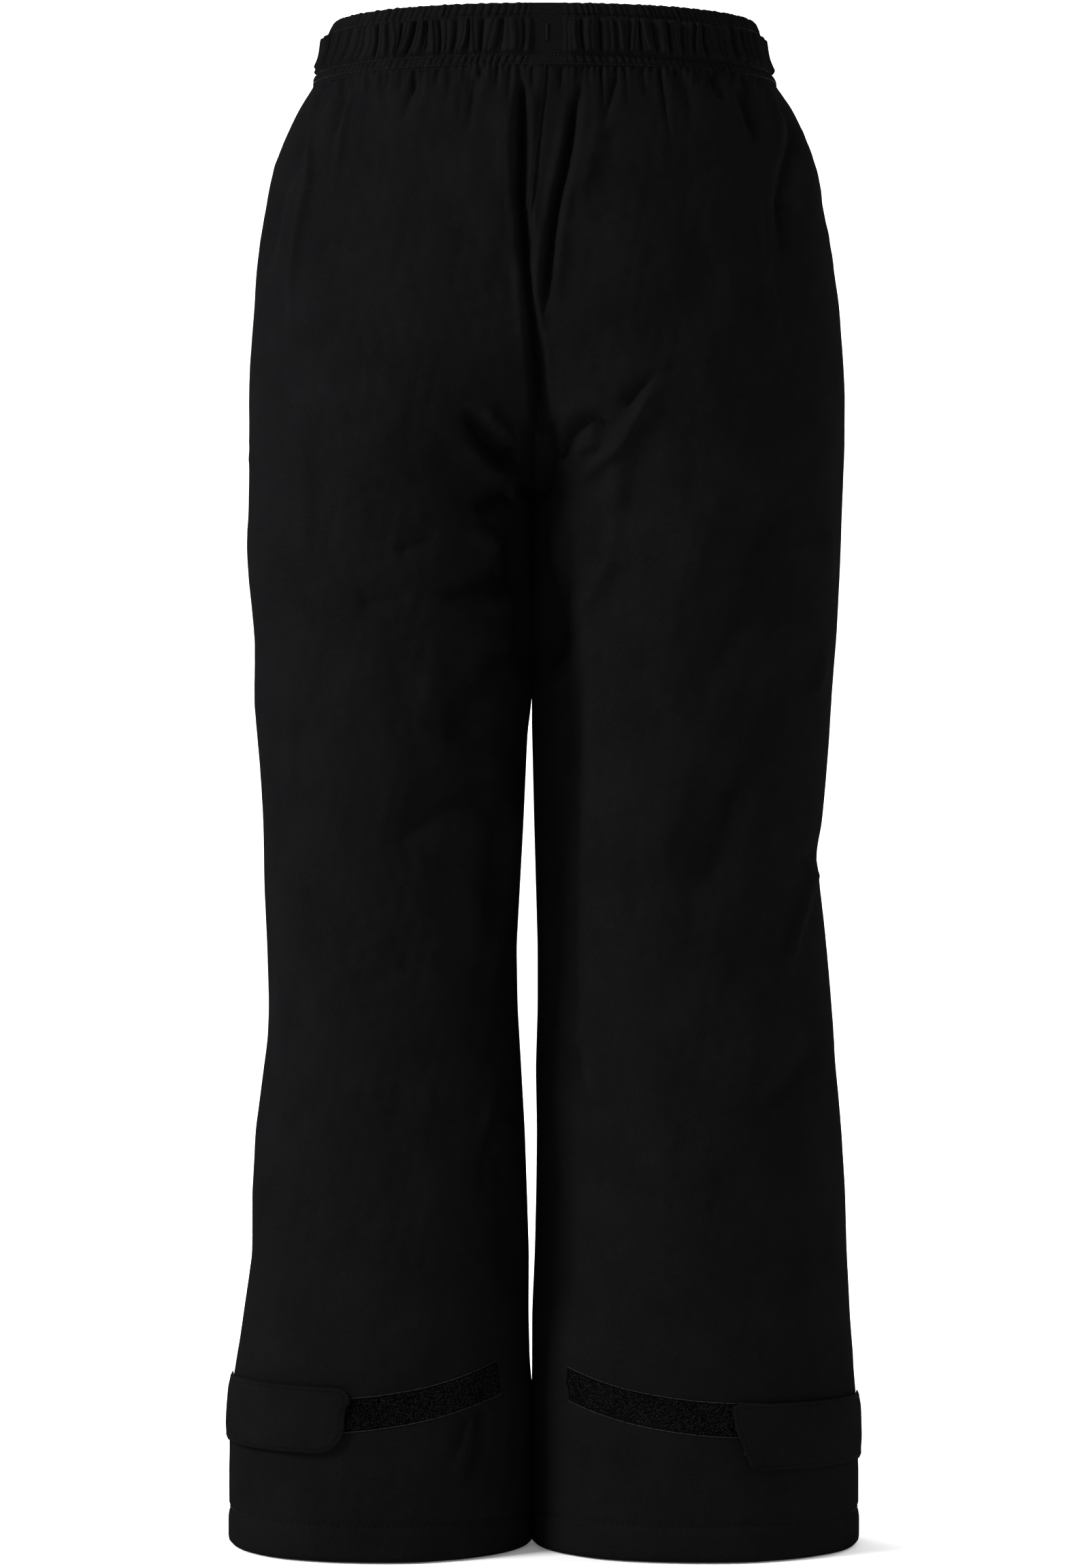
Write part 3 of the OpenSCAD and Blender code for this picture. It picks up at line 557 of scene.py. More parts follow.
def stitches(c, tan, nn, length, r, arch=0.16, tilt=0.0, seed=1):
    """One small rounded stitch at each point: a thread that dives into the cloth at both ends."""
    ring, sec = 6, np.array([-1, -.86, -.45, 0, .45, .86, 1])
    rad = np.array([.25, .75, 1, 1, 1, .75, .25])
    lift = np.array([-1.3, -.6, .3, .62, .3, -.6, -1.3])
    a = np.arange(ring) * 2 * np.pi / ring
    tx = np.repeat(sec * length / 2, ring)
    ty = (rad[:, None] * np.cos(a)[None] * r).ravel()
    tz = (rad[:, None] * np.sin(a)[None] * r * .8 + (lift * r)[:, None]).ravel() + arch * 0
    rr = np.random.RandomState(seed)
    b = np.cross(nn, tan)
    ang = tilt + rr.uniform(-.08, .08, len(c))
    t2 = tan * np.cos(ang)[:, None] + b * np.sin(ang)[:, None]
    b2 = np.cross(nn, t2)
    v = c[:, None] + t2[:, None] * tx[None, :, None] + b2[:, None] * ty[None, :, None] + nn[:, None] * tz[None, :, None]
    m = len(sec)
    q = []
    for i in range(m - 1):
        for j in range(ring):
            q.append([i * ring + j, i * ring + (j + 1) % ring, (i + 1) * ring + (j + 1) % ring, (i + 1) * ring + j])
    for base_i, rev in ((0, True), ((m - 1) * ring, False)):
        e = [base_i + j for j in range(ring)]
        f1, f2 = [e[0], e[1], e[2], e[3]], [e[0], e[3], e[4], e[5]]
        q += [f1[::-1], f2[::-1]] if rev else [f1, f2]
    q = np.array(q)
    f = (q[None] + (np.arange(len(c)) * m * ring)[:, None, None]).reshape(-1, 4)
    vv = v.reshape(-1, 3)
    k = q[3]
    n = np.cross(v[0][k[2]] - v[0][k[0]], v[0][k[3]] - v[0][k[1]])
    if (n * (v[0][k].mean(0) - v[0].mean(0))).sum() < 0:
        f = f[:, ::-1]
    return vv, f


def grid_uv(p):
    """Lengths along rows and columns of a grid, in mm, for the weave."""
    a = np.linalg.norm(np.diff(p, axis=1), axis=2).mean(0)
    b = np.linalg.norm(np.diff(p, axis=0), axis=2).mean(1)
    a, b = np.concatenate([[0], np.cumsum(a)]), np.concatenate([[0], np.cumsum(b)])
    return np.stack(np.broadcast_arrays(a[None, :], b[:, None]), -1)


# ---------------------------------------------------------------- materials
def nodes_of(name):
    m = bpy.data.materials.new(name)
    m.use_nodes = True
    nt = m.node_tree
    return m, nt, nt.nodes["Principled BSDF"]


def link(nt, a, b):
    nt.links.new(a, b)


def math_node(nt, op, a, b=None):
    n = nt.nodes.new("ShaderNodeMath")
    n.operation = op
    for i, v in enumerate((a, b)):
        if v is None:
            continue
        if isinstance(v, (int, float)):
            n.inputs[i].default_value = v
        else:
            link(nt, v, n.inputs[i])
    return n.outputs[0]


def noise(nt, coord, scale, detail=3.0, rough=.55, dims="3D"):
    n = nt.nodes.new("ShaderNodeTexNoise")
    n.inputs["Scale"].default_value = scale
    n.inputs["Detail"].default_value = detail
    n.inputs["Roughness"].default_value = rough
    link(nt, coord, n.inputs["Vector"])
    return n.outputs["Fac"]


def ramp(nt, fac, c0, c1, p0=.3, p1=.7):
    n = nt.nodes.new("ShaderNodeValToRGB")
    n.color_ramp.elements[0].position, n.color_ramp.elements[1].position = p0, p1
    n.color_ramp.elements[0].color, n.color_ramp.elements[1].color = (*c0, 1), (*c1, 1)
    link(nt, fac, n.inputs["Fac"])
    return n.outputs["Color"]


def cloth(name, dark, light, rough=.62, sheen=.2, sheen_rough=.4, tint=(.6, .62, .66), spec=.12, pitch=.42, bump=.25, twill=False, fuzz=.05, slub=.5, uvw=True):
    """Woven cloth: crossing yarns in the bump and colour, uneven yarns, a slight sheen."""
    m, nt, b = nodes_of(name)
    tc = nt.nodes.new("ShaderNodeTexCoord")
    obj = tc.outputs["Object"]
    co = tc.outputs["UV"] if uvw else obj
    sep = nt.nodes.new("ShaderNodeSeparateXYZ")
    link(nt, co, sep.inputs[0])
    k = math.pi / pitch if uvw else math.pi / (pitch / 1000)
    u, v = sep.outputs[0], sep.outputs[1] if uvw else sep.outputs[2]
    if twill:
        d = math_node(nt, "ADD", u, math_node(nt, "MULTIPLY", v, .62))
        w = math_node(nt, "SINE", math_node(nt, "MULTIPLY", d, k))
        w2 = math_node(nt, "SINE", math_node(nt, "MULTIPLY", v, k * 2))
        h = math_node(nt, "ADD", math_node(nt, "MULTIPLY", w, .7), math_node(nt, "MULTIPLY", w2, .3))
    else:
        w = math_node(nt, "SINE", math_node(nt, "MULTIPLY", u, k))
        w2 = math_node(nt, "SINE", math_node(nt, "MULTIPLY", v, k))
        h = math_node(nt, "MULTIPLY", w, w2)
    big = noise(nt, obj, 28, 3)
    fine = noise(nt, obj, 900, 2)
    mid = noise(nt, obj, 160, 3)
    h = math_node(nt, "ADD", h, math_node(nt, "MULTIPLY", fine, slub))
    h = math_node(nt, "ADD", h, math_node(nt, "MULTIPLY", mid, slub * 1.4))
    mix = math_node(nt, "ADD", math_node(nt, "MULTIPLY", big, .45), math_node(nt, "MULTIPLY", fine, .55))
    link(nt, ramp(nt, mix, dark, light, .32, .68), b.inputs["Base Color"])
    r = math_node(nt, "ADD", rough - .06, math_node(nt, "MULTIPLY", mid, .12))
    link(nt, r, b.inputs["Roughness"])
    bp = nt.nodes.new("ShaderNodeBump")
    bp.inputs["Strength"].default_value = bump
    bp.inputs["Distance"].default_value = .00012
    link(nt, h, bp.inputs["Height"])
    link(nt, bp.outputs["Normal"], b.inputs["Normal"])
    b.inputs["Specular IOR Level"].default_value = spec
    b.inputs["Sheen Weight"].default_value = sheen
    b.inputs["Sheen Roughness"].default_value = sheen_rough
    b.inputs["Sheen Tint"].default_value = (*tint, 1)
    return m


def hard(name, dark, light, rough=.4, metallic=0.0, spec=.5, scale=300, bump=.08, wear=.0):
    """Moulded or cast finish with fine grain, small colour change and rubbed edges."""
    m, nt, b = nodes_of(name)
    tc = nt.nodes.new("ShaderNodeTexCoord")
    g = noise(nt, tc.outputs["Object"], scale, 4)
    g2 = noise(nt, tc.outputs["Object"], scale / 9, 3)
    col = ramp(nt, g2, dark, light)
    if wear:
        geo = nt.nodes.new("ShaderNodeNewGeometry")
        edge = math_node(nt, "MULTIPLY", math_node(nt, "SUBTRACT", geo.outputs["Pointiness"], .52), 9)
        mx = nt.nodes.new("ShaderNodeMix")
        mx.data_type = "RGBA"
        mx.clamp_factor = True
        link(nt, math_node(nt, "MULTIPLY", edge, g), mx.inputs[0])
        link(nt, col, mx.inputs[6])
        mx.inputs[7].default_value = (*[min(1, c * 5 + wear) for c in light], 1)
        col = mx.outputs[2]
    link(nt, col, b.inputs["Base Color"])
    link(nt, math_node(nt, "ADD", rough - .07, math_node(nt, "MULTIPLY", g, .14)), b.inputs["Roughness"])
    bp = nt.nodes.new("ShaderNodeBump")
    bp.inputs["Strength"].default_value = bump
    bp.inputs["Distance"].default_value = .0002
    link(nt, g, bp.inputs["Height"])
    link(nt, bp.outputs["Normal"], b.inputs["Normal"])
    b.inputs["Metallic"].default_value = metallic
    b.inputs["Specular IOR Level"].default_value = spec
    return m


K = 1.0
SHELL = cloth("shell cloth", (.0030 * K, .0030 * K, .0033 * K), (.0049 * K, .0049 * K, .0053 * K), sheen=.005, sheen_rough=.3, spec=0.0, rough=.8)
THREAD = cloth("sewing thread", (.0034, .0034, .0037), (.0078, .0078, .0082), sheen=.01, spec=.03, rough=.45, pitch=.2, uvw=False, bump=.3)
DARK_THREAD = cloth("dark sewing thread", (.0016, .0016, .0018), (.0034, .0034, .0036), sheen=.004, spec=.02, rough=.6, pitch=.2, uvw=False, bump=.3)
LINING = cloth("lining taffeta", (.005, .005, .0055), (.009, .009, .0098), sheen=.03, rough=.45, spec=.12, pitch=.3, bump=.15, slub=.3)
WAD = cloth("wadding", (.022, .022, .023), (.045, .045, .046), sheen=.05, rough=.95, spec=.1, pitch=1.2, bump=1.0, slub=2.5)
FILM = cloth("seam tape film", (.004, .004, .0044), (.007, .007, .0075), sheen=0, rough=.3, spec=.5, pitch=.5, bump=.1)
PILE = cloth("loop pile", (.0002, .0002, .0002), (.0032, .0032, .0034), sheen=0, sheen_rough=.6, rough=.9, spec=0, pitch=.33, bump=1.0, slub=3)
SELV = cloth("loop tape edge", (.005, .005, .0055), (.016, .016, .017), sheen=.01, rough=.6, spec=.05, pitch=.5, bump=.7)
HOOK = hard("hook tape", (.004, .004, .0044), (.009, .009, .0098), rough=.5, spec=.06, scale=500)
ELAST = cloth("elastic", (.008, .008, .0085), (.016, .016, .017), sheen=.03, rough=.7, spec=.05, pitch=.9, bump=.8, twill=False)
WOVEN = cloth("woven tape", (.0045, .0045, .0048), (.009, .009, .0096), sheen=.015, rough=.7, spec=.03, pitch=.55, bump=.6, twill=True)
TEETH = hard("zip teeth", (.004, .004, .0043), (.008, .008, .0085), rough=.4, spec=.16, scale=700)
METAL = hard("dark metal", (.035, .035, .038), (.07, .07, .074), rough=.34, metallic=1.0, scale=420, wear=.12)
LABEL = cloth("label satin", (.62, .62, .61), (.74, .74, .73), sheen=.1, rough=.35, spec=.4, pitch=.35, bump=.2, twill=True)

for node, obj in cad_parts.items():
    obj_mat = None
    if node in ("fly_zip_slider", "fly_zip_puller", "fly_zip_stops", "snap_cap", "snap_socket", "snap_stud", "snap_post") or node.startswith(("pocket_slider", "pocket_puller")):
        obj_mat = METAL
    if obj_mat:
        for sl in obj.material_slots:
            sl.material = obj_mat

SIDES = {-1: "left", 1: "right"}

# ---------------------------------------------------------------- shell
NZ = 540
NU = 210
flat_sizes = {}


def area_of(p):
    n = np.cross(p[1:, 1:] - p[:-1, :-1], p[1:, :-1] - p[:-1, 1:])
    return float(np.linalg.norm(n, axis=-1).sum() / 2)


def declare_sheet(o, p, mask=None):
    """The cut size: the panel's flat area, and its greatest width and length along the cloth."""
    n = np.linalg.norm(np.cross(p[1:, 1:] - p[:-1, :-1], p[1:, :-1] - p[:-1, 1:]), axis=-1) / 2
    if mask is not None:
        n = n * mask
    w = np.linalg.norm(np.diff(p, axis=1), axis=2).sum(1).max()
    l = np.linalg.norm(np.diff(p, axis=0), axis=2).sum(0).max()
    area = min(float(n.sum()), w * l * .999)
    flat_sizes[o.name] = [round(w), round(l), round(area / 100)]


def u_cols(n, fb):
    t = np.linspace(0, 1, n)
    return 1 - (1 - t) ** 1.28 if fb < 0 else t


def fly_u(s, z):
    """u of the fly's edge, 7 mm from the middle line, above the crotch."""
    z = np.maximum(z, 664)
    w = WRs(z) if s > 0 else WLs(z)
    return np.arccos(7.0 / w) / np.arccos(SEAM_GAP / w)


def panel_grid(s, fb, nu, nz, z0, z1, slots=True):
    z = np.linspace(z1, z0, nz)
    mask = np.ones((nz - 1, nu - 1), bool)
    if fb < 0 or not slots:
        u = u_cols(nu, fb)
        return np.broadcast_to(u, (nz, nu)).copy(), np.broadcast_to(z[:, None], (nz, nu)).copy(), mask
    # rows at the ends of the slots, columns at their edges
    for t in (774.0, 664.0):
        z[np.argmin(np.abs(z - t))] = t
    u = np.linspace(0, 1, nu)
    ja, jb, jf = int(round(.272 * (nu - 1))), int(round(.328 * (nu - 1))), int(round(.955 * (nu - 1)))
    uf = fly_u(s, z)
    key_i = np.array([0, ja, jb, jf, nu - 1])
    U = np.stack([np.interp(np.arange(nu), key_i, [0, POCKET_U[0], POCKET_U[1], f, 1]) for f in uf])
    Z = np.broadcast_to(z[:, None], (nz, nu)).copy()
    zc = (z[1:] + z[:-1]) / 2
    mask[np.ix_((zc > 664) & (zc < 774), np.arange(ja, jb))] = False
    mask[np.ix_(zc > 664, np.arange(jf, nu - 1))] = False
    return U, Z, mask


for s, side in SIDES.items():
    for fb, face in ((-1, "back"), (1, "front")):
        U, Z, mask = panel_grid(s, fb, NU if fb < 0 else NU * 2 // 3, NZ if fb < 0 else NZ * 2 // 3, .25, 816.0)
        p, n = frame_of(s, fb, U, Z)
        h = height(s, fb, U, Z, p)
        # cloth 1 mm thick, its rim closed at the slots' edges
        outer, inner = p + n * h[..., None], p + n * (h - 1.0)[..., None]
        o = add(f"shell_{face}_{side}", solid(outer, inner, mask), SHELL, uv=grid_uv(p), rep=[f"{face}_panel_{side}"])
        declare_sheet(o, p, mask)

        # padding behind each panel
        U, Z, mask = panel_grid(s, fb, 40, 110, 24.0, 815.0)
        if fb > 0:
            mask = np.ones_like(mask)
            U = np.minimum(U, np.where(Z > 664, fly_u(s, Z), 1.0))
        U = U * .994 + .003
        U = U * (1 - .07 * smooth(Z, 540, 575) * (1 - smooth(Z, 640, 670)))
        p, n = frame_of(s, fb, U, Z)
        h = inner_height(s, fb, U, Z) + .2 * wob(U * 250, Z, 22, 71)
        ed = np.minimum(np.minimum(U - .003, U.max(1, keepdims=True) - U) * 240, np.minimum(Z - 24, 815 - Z))
        ed = smooth(ed, -.5, 5)
        o = add(f"wadding_{face}_{side}", solid(p + n * (h - 4.8 - .9 * (1 - ed))[..., None], p + n * (h - 7.2 + .9 * (1 - ed))[..., None], mask), WAD, uv=grid_uv(p), rep=[f"padding_{face}_{side}"])

# ---------------------------------------------------------------- lining, hems, gaiters: right round a leg


def ring_cols(nb, closed=False):
    """Columns from the back middle seam round the side to the front: [fb, u]."""
    b = [(-1, u) for u in 1 - np.linspace(0, 1, nb)]
    f = [(1, u) for u in np.linspace(0, 1, nb)[1:]]
    return b + f


def ring_S(s, cols, z, off, follow=1.0, extra=None):
    """Points of a leg's ring: rows are heights z, columns are [fb, u]; off is by row and column."""
    z = np.asarray(z, float)
    off = np.broadcast_to(off, (len(z), len(cols)))
    out = np.zeros((len(z), len(cols), 3))
    nn = np.zeros_like(out)
    fbs = np.array([c[0] for c in cols])
    us = np.array([c[1] for c in cols])
    for fb in (-1, 1):
        j = np.where(fbs == fb)[0]
        U, Z = np.broadcast_arrays(us[j][None, :], z[:, None])
        p, n = frame_of(s, fb, U, Z)
        h = inner_height(s, fb, U, Z) if follow == "in" else height(s, fb, U, Z, p) if follow else np.zeros(U.shape)
        out[:, j] = p + n * (h + off[:, j])[..., None]
        nn[:, j] = n
    return out, nn


for s, side in SIDES.items():
    cols = ring_cols(70)
    z = np.linspace(815.5, 24.2, 190)
    off = -7.95 + .12 * wob(*np.meshgrid(np.arange(len(cols)) * 3.5, z), 26, 40 + s)
    o1, n1 = ring_S(s, cols, z, off - 1.5 * smooth(z, 540, 575)[:, None] * (1 - smooth(z, 640, 670))[:, None], "in")
    mask = np.ones((len(z) - 1, len(cols) - 1), bool)
    zc = (z[1:] + z[:-1]) / 2
    mask[np.ix_(zc > 664, [len(cols) - 2, len(cols) - 3])] = False
    o = add(f"lining_{side}_hung", solid(o1, o1 - n1 * .5, mask), LINING, uv=grid_uv(o1), rep=[f"lining_{side}"])
    declare_sheet(o, o1, mask)

    # hem turn-up inside the ankle, its edge rolled
    z = np.concatenate([np.linspace(22.4, 2.2, 22), np.linspace(1.7, .35, 5)])
    roll = (1 - smooth(z, .2, 2.4))
    o1, n1 = ring_S(s, cols[:-1], z, -1.04 + 0 * z[:, None])
    o2, _ = ring_S(s, cols[:-1], z, (-2.35 - .25 * gauss(z - 12, 7) + .5 * roll)[:, None])
    hem = add(f"hem_turnup_{side}", solid(o1, o2, wrap=True), SHELL, uv=grid_uv(o1), rep=[f"hem_{side}"])
    declare_sheet(hem, np.concatenate([o1, o1[:, :1]], 1), None)
    # its stitch line, 3.4 mm a stitch
    p, n = ring_S(s, ring_cols(220)[:-1], [20.5], 0)
    c, t, nn = resample(p[0], n[0], 3.4, closed=True)
    add(f"hem_stitches_{side}", stitches(c + nn * .08, t, nn, 2.5, .26, seed=5 + s), DARK_THREAD)

    # snow gaiter: gathered towards its elastic edge
    cols_g = ring_cols(150)[:-1]
    zg = np.linspace(200, 24.5, 90)
    dep = np.interp(zg, [24, 40, 75, 120, 170, 200], [25, 24, 21, 17, 12, 9])
    amp = 2.3 * smooth(200 - zg, 20, 150) * (1 - .55 * gauss(zg - 32, 7))
    k = np.arange(len(cols_g)) / len(cols_g)
    ph = 46 * k + .35 * np.sin(2 * np.pi * 5 * k + s)
    pl = np.abs(np.cos(np.pi * ph[None, :] + .5 * np.sin(zg[:, None] / 31 + 9 * k[None, :]))) ** .7
    o1, n1 = ring_S(s, cols_g, zg, -dep[:, None] + amp[:, None] * pl, follow=0)
    o = add(f"gaiter_sleeve_{side}", solid(o1, o1 - n1 * .75, wrap=True), LINING, uv=grid_uv(o1), rep=[f"gaiter_{side}"])
    declare_sheet(o, np.concatenate([o1, o1[:, :1]], 1), None)
    ze = np.linspace(39, 25, 29)
    rib = .16 * np.cos(2 * np.pi * (ze - 25) / 1.75)
    o1, n1 = ring_S(s, cols_g, ze, (-26.3 + rib)[:, None], follow=0)
    o2, _ = ring_S(s, cols_g, ze, (-27.5 - rib)[:, None], follow=0)
    o = add(f"gaiter_elastic_ribbed_{side}", solid(o1, o2, wrap=True), ELAST, uv=grid_uv(o1), rep=[f"gaiter_elastic_{side}"])
    declare_sheet(o, np.concatenate([o1, o1[:, :1]], 1), None)

# ---------------------------------------------------------------- seam tapes, inside the shell
def strip_S(parts, z, off, thick, name, node, mat, slot):
    """Tape over a seam. parts is a list of [s, fb, [u...]] that run on from one another."""
    a = [S(s, fb, np.array(us)[None, :], np.asarray(z, float)[:, None], off, "in")[0] for s, fb, us in parts]
    b = [S(s, fb, np.array(us)[None, :], np.asarray(z, float)[:, None], off - thick, "in")[0] for s, fb, us in parts]
    o1, o2 = np.concatenate(a, 1), np.concatenate(b, 1)
    return o1, o2


zz = np.linspace(814, 590, 90)
e = np.linspace(.965, 1, 5)
o1, o2 = strip_S([(-1, -1, e), (1, -1, e[::-1])], zz, -1.06, .28, "", "", FILM, "")
o = add("seat_seam_tape", solid(o1, o2), FILM, uv=grid_uv(o1), rep=["seam_tape_seat"])
declare_sheet(o, o1, None)
zz = np.linspace(660, 592, 30)
o1, o2 = strip_S([(-1, 1, e), (1, 1, e[::-1])], zz, -1.06, .28, "", "", FILM, "")
o = add("front_seam_tape", solid(o1, o2), FILM, uv=grid_uv(o1), rep=["seam_tape_front"])
declare_sheet(o, o1, None)
for s, side in SIDES.items():
    zz = np.linspace(812, 24, 220)
    e = np.linspace(0, .035, 5)
    o1, o2 = strip_S([(s, -1, e[::-1]), (s, 1, e[1:])], zz, -1.06, .28, "", "", FILM, "")
    o = add(f"side_seam_tape_{side}", solid(o1, o2), FILM, uv=grid_uv(o1), rep=[f"seam_tape_side_{side}"])
    declare_sheet(o, o1, None)
    zz = np.linspace(584, 24, 160)
    e = np.linspace(.965, 1, 5)
    o1, o2 = strip_S([(s, -1, e), (s, 1, e[::-1][1:])], zz, -1.06, .28, "", "", FILM, "")
    o = add(f"inseam_tape_{side}_film", solid(o1, o2), FILM, uv=grid_uv(o1), rep=[f"seam_tape_inseam_{side}"])
    declare_sheet(o, o1, None)

# ---------------------------------------------------------------- waistband
ROWS = (842.2, 820.6, 815.4)        # heights of the three stitch rows


def pleats(seed, total, pitch, var):
    r = np.random.RandomState(seed)
    c = [0.0]
    while c[-1] < total + 40:
        c.append(c[-1] + pitch * (1 + var * r.uniform(-1, 1)))
    return np.array(c), r.uniform(.35, 1.0, len(c)), r.uniform(-1, 1, len(c)), r.uniform(-1, 1, len(c))


def band_cols(s, n):
    back = 1 - np.linspace(0, 1, n)
    front = np.linspace(0, 1, int(n * .92))[1:]
    fb = np.concatenate([-np.ones(len(back)), np.ones(len(front))])
    return fb, np.concatenate([back, front])


def band_arc(s, fb, u):
    p = np.zeros((len(u), 3))
    for q in (-1, 1):
        j = fb == q
        p[j] = base(s, q, u[j], np.full(j.sum(), 832.0))[0]
    l = np.concatenate([[0], np.cumsum(np.linalg.norm(np.diff(p, axis=0), axis=1))])
    return l, p


def band_off(s, fb, u, arc, x, zb):
    """How far the band stands out at heights zb (rows) and columns."""
    ca, aa, sl, cu = pleats(21 + s, 420, 8.2, .42)
    cn, an, _, _ = pleats(31 + s, 420, 3.7, .3)
    ct, at, _, _ = pleats(41 + s, 420, 3.9, .35)
    Z = zb[:, None]
    A = arc[None, :]
    t = (Z - 831.4) / 11
    slant = np.interp(arc, ca, sl)[None, :] * 2.6 * t + np.interp(arc, ca, cu)[None, :] * 1.2 * (1 - t * t)
    ph = np.interp(A + slant, ca, np.arange(len(ca)))
    ampl = np.interp(A + slant, ca, aa)
    wide = np.abs(np.cos(np.pi * ph)) ** .62
    extra = np.abs(np.cos(np.pi * (ph * 2.37 + .3))) ** .8
    phn = np.interp(A + .25 * (Z - 819), cn, np.arange(len(cn)))
    nar = np.abs(np.cos(np.pi * phn)) ** .8 * np.interp(A, cn, an)
    pht = np.interp(A + .2 * (Z - 846), ct, np.arange(len(ct)))
    top = np.abs(np.cos(np.pi * pht)) ** .8 * np.interp(A, ct, at)
    # flat at the middle back and under the flap
    dx = np.where(fb < 0, x - 3.1, 99)
    calm_b = smooth(np.where(dx < 0, -dx - 8.5, dx - 7.0), 0, 4)
    calm_f = np.where(fb > 0, 1 - smooth(u, .70, .78), 1)
    calm = (calm_b * calm_f)[None, :]
    in_wide = smooth(Z, 820.4, 823.2) * (1 - smooth(Z, 839.4, 842.4))
    in_nar = smooth(Z, 815.4, 817) * (1 - smooth(Z, 819, 820.6))
    in_top = smooth(Z, 842.2, 844)
    below = 1 - smooth(Z, 814.2, 815.4)
    ff = (1 - calm_f * 1.0)[None, :]
    o = .45 + calm * (in_wide * (4.3 * ampl * (wide - .45) + .9 * extra + .6) + in_nar * (1.5 * nar - .35) + in_top * (1.5 * top - .35)) - 1.5 * below
    o = o + (1 - ff) * (.75 * in_wide + .35 * in_nar + .35 * in_top) * (.6 + .4 * calm)
    row = gauss(Z - ROWS[0], .75) + gauss(Z - ROWS[1], .75) + gauss(Z - ROWS[2], .7)
    o = o - .42 * row * (1 - .5 * ff) + calm * row * (.75 * nar * gauss(Z - 818, 4) + .8 * top * gauss(Z - 842.5, 3))
    return o


def band_points(s, fb, u, zb, off):
    p = np.zeros((len(zb), len(u), 3))
    n = np.zeros_like(p)
    for q in (-1, 1):
        j = fb == q
        U, Z = np.broadcast_arrays(u[j][None, :], zb[:, None])
        p[:, j], n[:, j] = frame_of(s, q, U, np.minimum(Z, 850))
    return p + n * off[..., None], n


BAND = {}
for s, side in SIDES.items():
    nc = 430
    fb, u = band_cols(s, nc)
    arc, pc = band_arc(s, fb, u)
    zo = np.linspace(813.6, 848.2, 64)
    off = band_off(s, fb, u, arc, pc[:, 0], zo)
    p, n = band_points(s, fb, u, zo, off)
    top_off = off[-1] * .8
    pt, nt_ = band_points(s, fb, u, np.array([848.2]), top_off[None, :])
    ang = np.radians(np.array([22, 45, 68, 90, 115, 140, 165, 180]))
    rim_o, rim_i = [], []
    scal = .35 * np.sin(arc / 1.15 + s) * smooth(np.abs(pc[:, 0]), 8, 14)
    for a in ang:
        cx = top_off - 2.0
        rr = 2.0 + (off[-1] * 0)
        q = pt[0] + nt_[0] * (-2.0 + 2.0 * math.cos(a))[..., None] if False else pt[0] + nt_[0] * (-2.0 + 2.0 * math.cos(a))
        q = q + np.array([0, 0, 1]) * (1.75 + scal * .5)[:, None] * math.sin(a)
        rim_o.append(q)
        d = nt_[0] * math.cos(a) + np.array([0, 0, 1]) * math.sin(a)
        rim_i.append(q - d * .7)
    down = []
    for k in (845.5, 843.0):
        q, _ = band_points(s, fb, u, np.array([k]), (np.full(len(u), -3.55))[None, :])
        down.append(q[0])
    outer = np.concatenate([p, np.array(rim_o), np.array(down)], 0)
    inner = np.concatenate([p - n * .7, np.array(rim_i), np.array([q + nt_[0] * .6 for q in down])], 0)
    o = add(f"waistband_gathered_{side}", solid(outer, inner), SHELL, uv=grid_uv(outer) * np.array([1.0, 1.0]), rep=[f"waistband_{side}"], sharp=75)
    fine_area = area_of(outer)
    w = np.linalg.norm(np.diff(outer, axis=1), axis=2).sum(1).max()
    l = np.linalg.norm(np.diff(outer, axis=0), axis=2).sum(0).mean()
    flat_sizes[o.name] = [round(w), round(l), round(w * l / 100)]
    # the three stitch rows, 2.1 mm a stitch
    parts = []
    for i, zr in enumerate(ROWS):
        off_r = band_off(s, fb, u, arc, pc[:, 0], np.array([zr]))
        q, nn = band_points(s, fb, u, np.array([zr]), off_r)
        c, t, m = resample(q[0], nn[0], 2.12)
        parts.append(stitches(c + m * .16, t, m, 1.62, .24, seed=50 + i))
    add(f"waistband_stitches_{side}", cat(parts), THREAD)
    BAND[s] = (fb, u, arc, pc)

# elastic and facing run right round, from one front edge to the other
fbs, us, ss = [], [], []
for s in (-1, 1):
    f = np.linspace(.965, 0, 120) if s < 0 else np.linspace(0, .965, 120)
    b = np.linspace(0, 1, 130) if s < 0 else np.linspace(1, 0, 130)
    seq = [(1, f), (-1, b[1:])] if s < 0 else [(-1, b), (1, f[1:])]
    for q, a in seq:
        fbs += [q] * len(a); us += list(a); ss += [s] * len(a)
fbs, us, ss = np.array(fbs), np.array(us), np.array(ss)


def round_points(z, off):
    p = np.zeros((len(z), len(us), 3)); n = np.zeros_like(p)
    for s in (-1, 1):
        for q in (-1, 1):
            j = (fbs == q) & (ss == s)
            U, Z = np.broadcast_arrays(us[j][None, :], np.asarray(z, float)[:, None])
            p[:, j], n[:, j] = frame_of(s, q, U, Z)
    return p + n * np.broadcast_to(off, p.shape[:2])[..., None], n


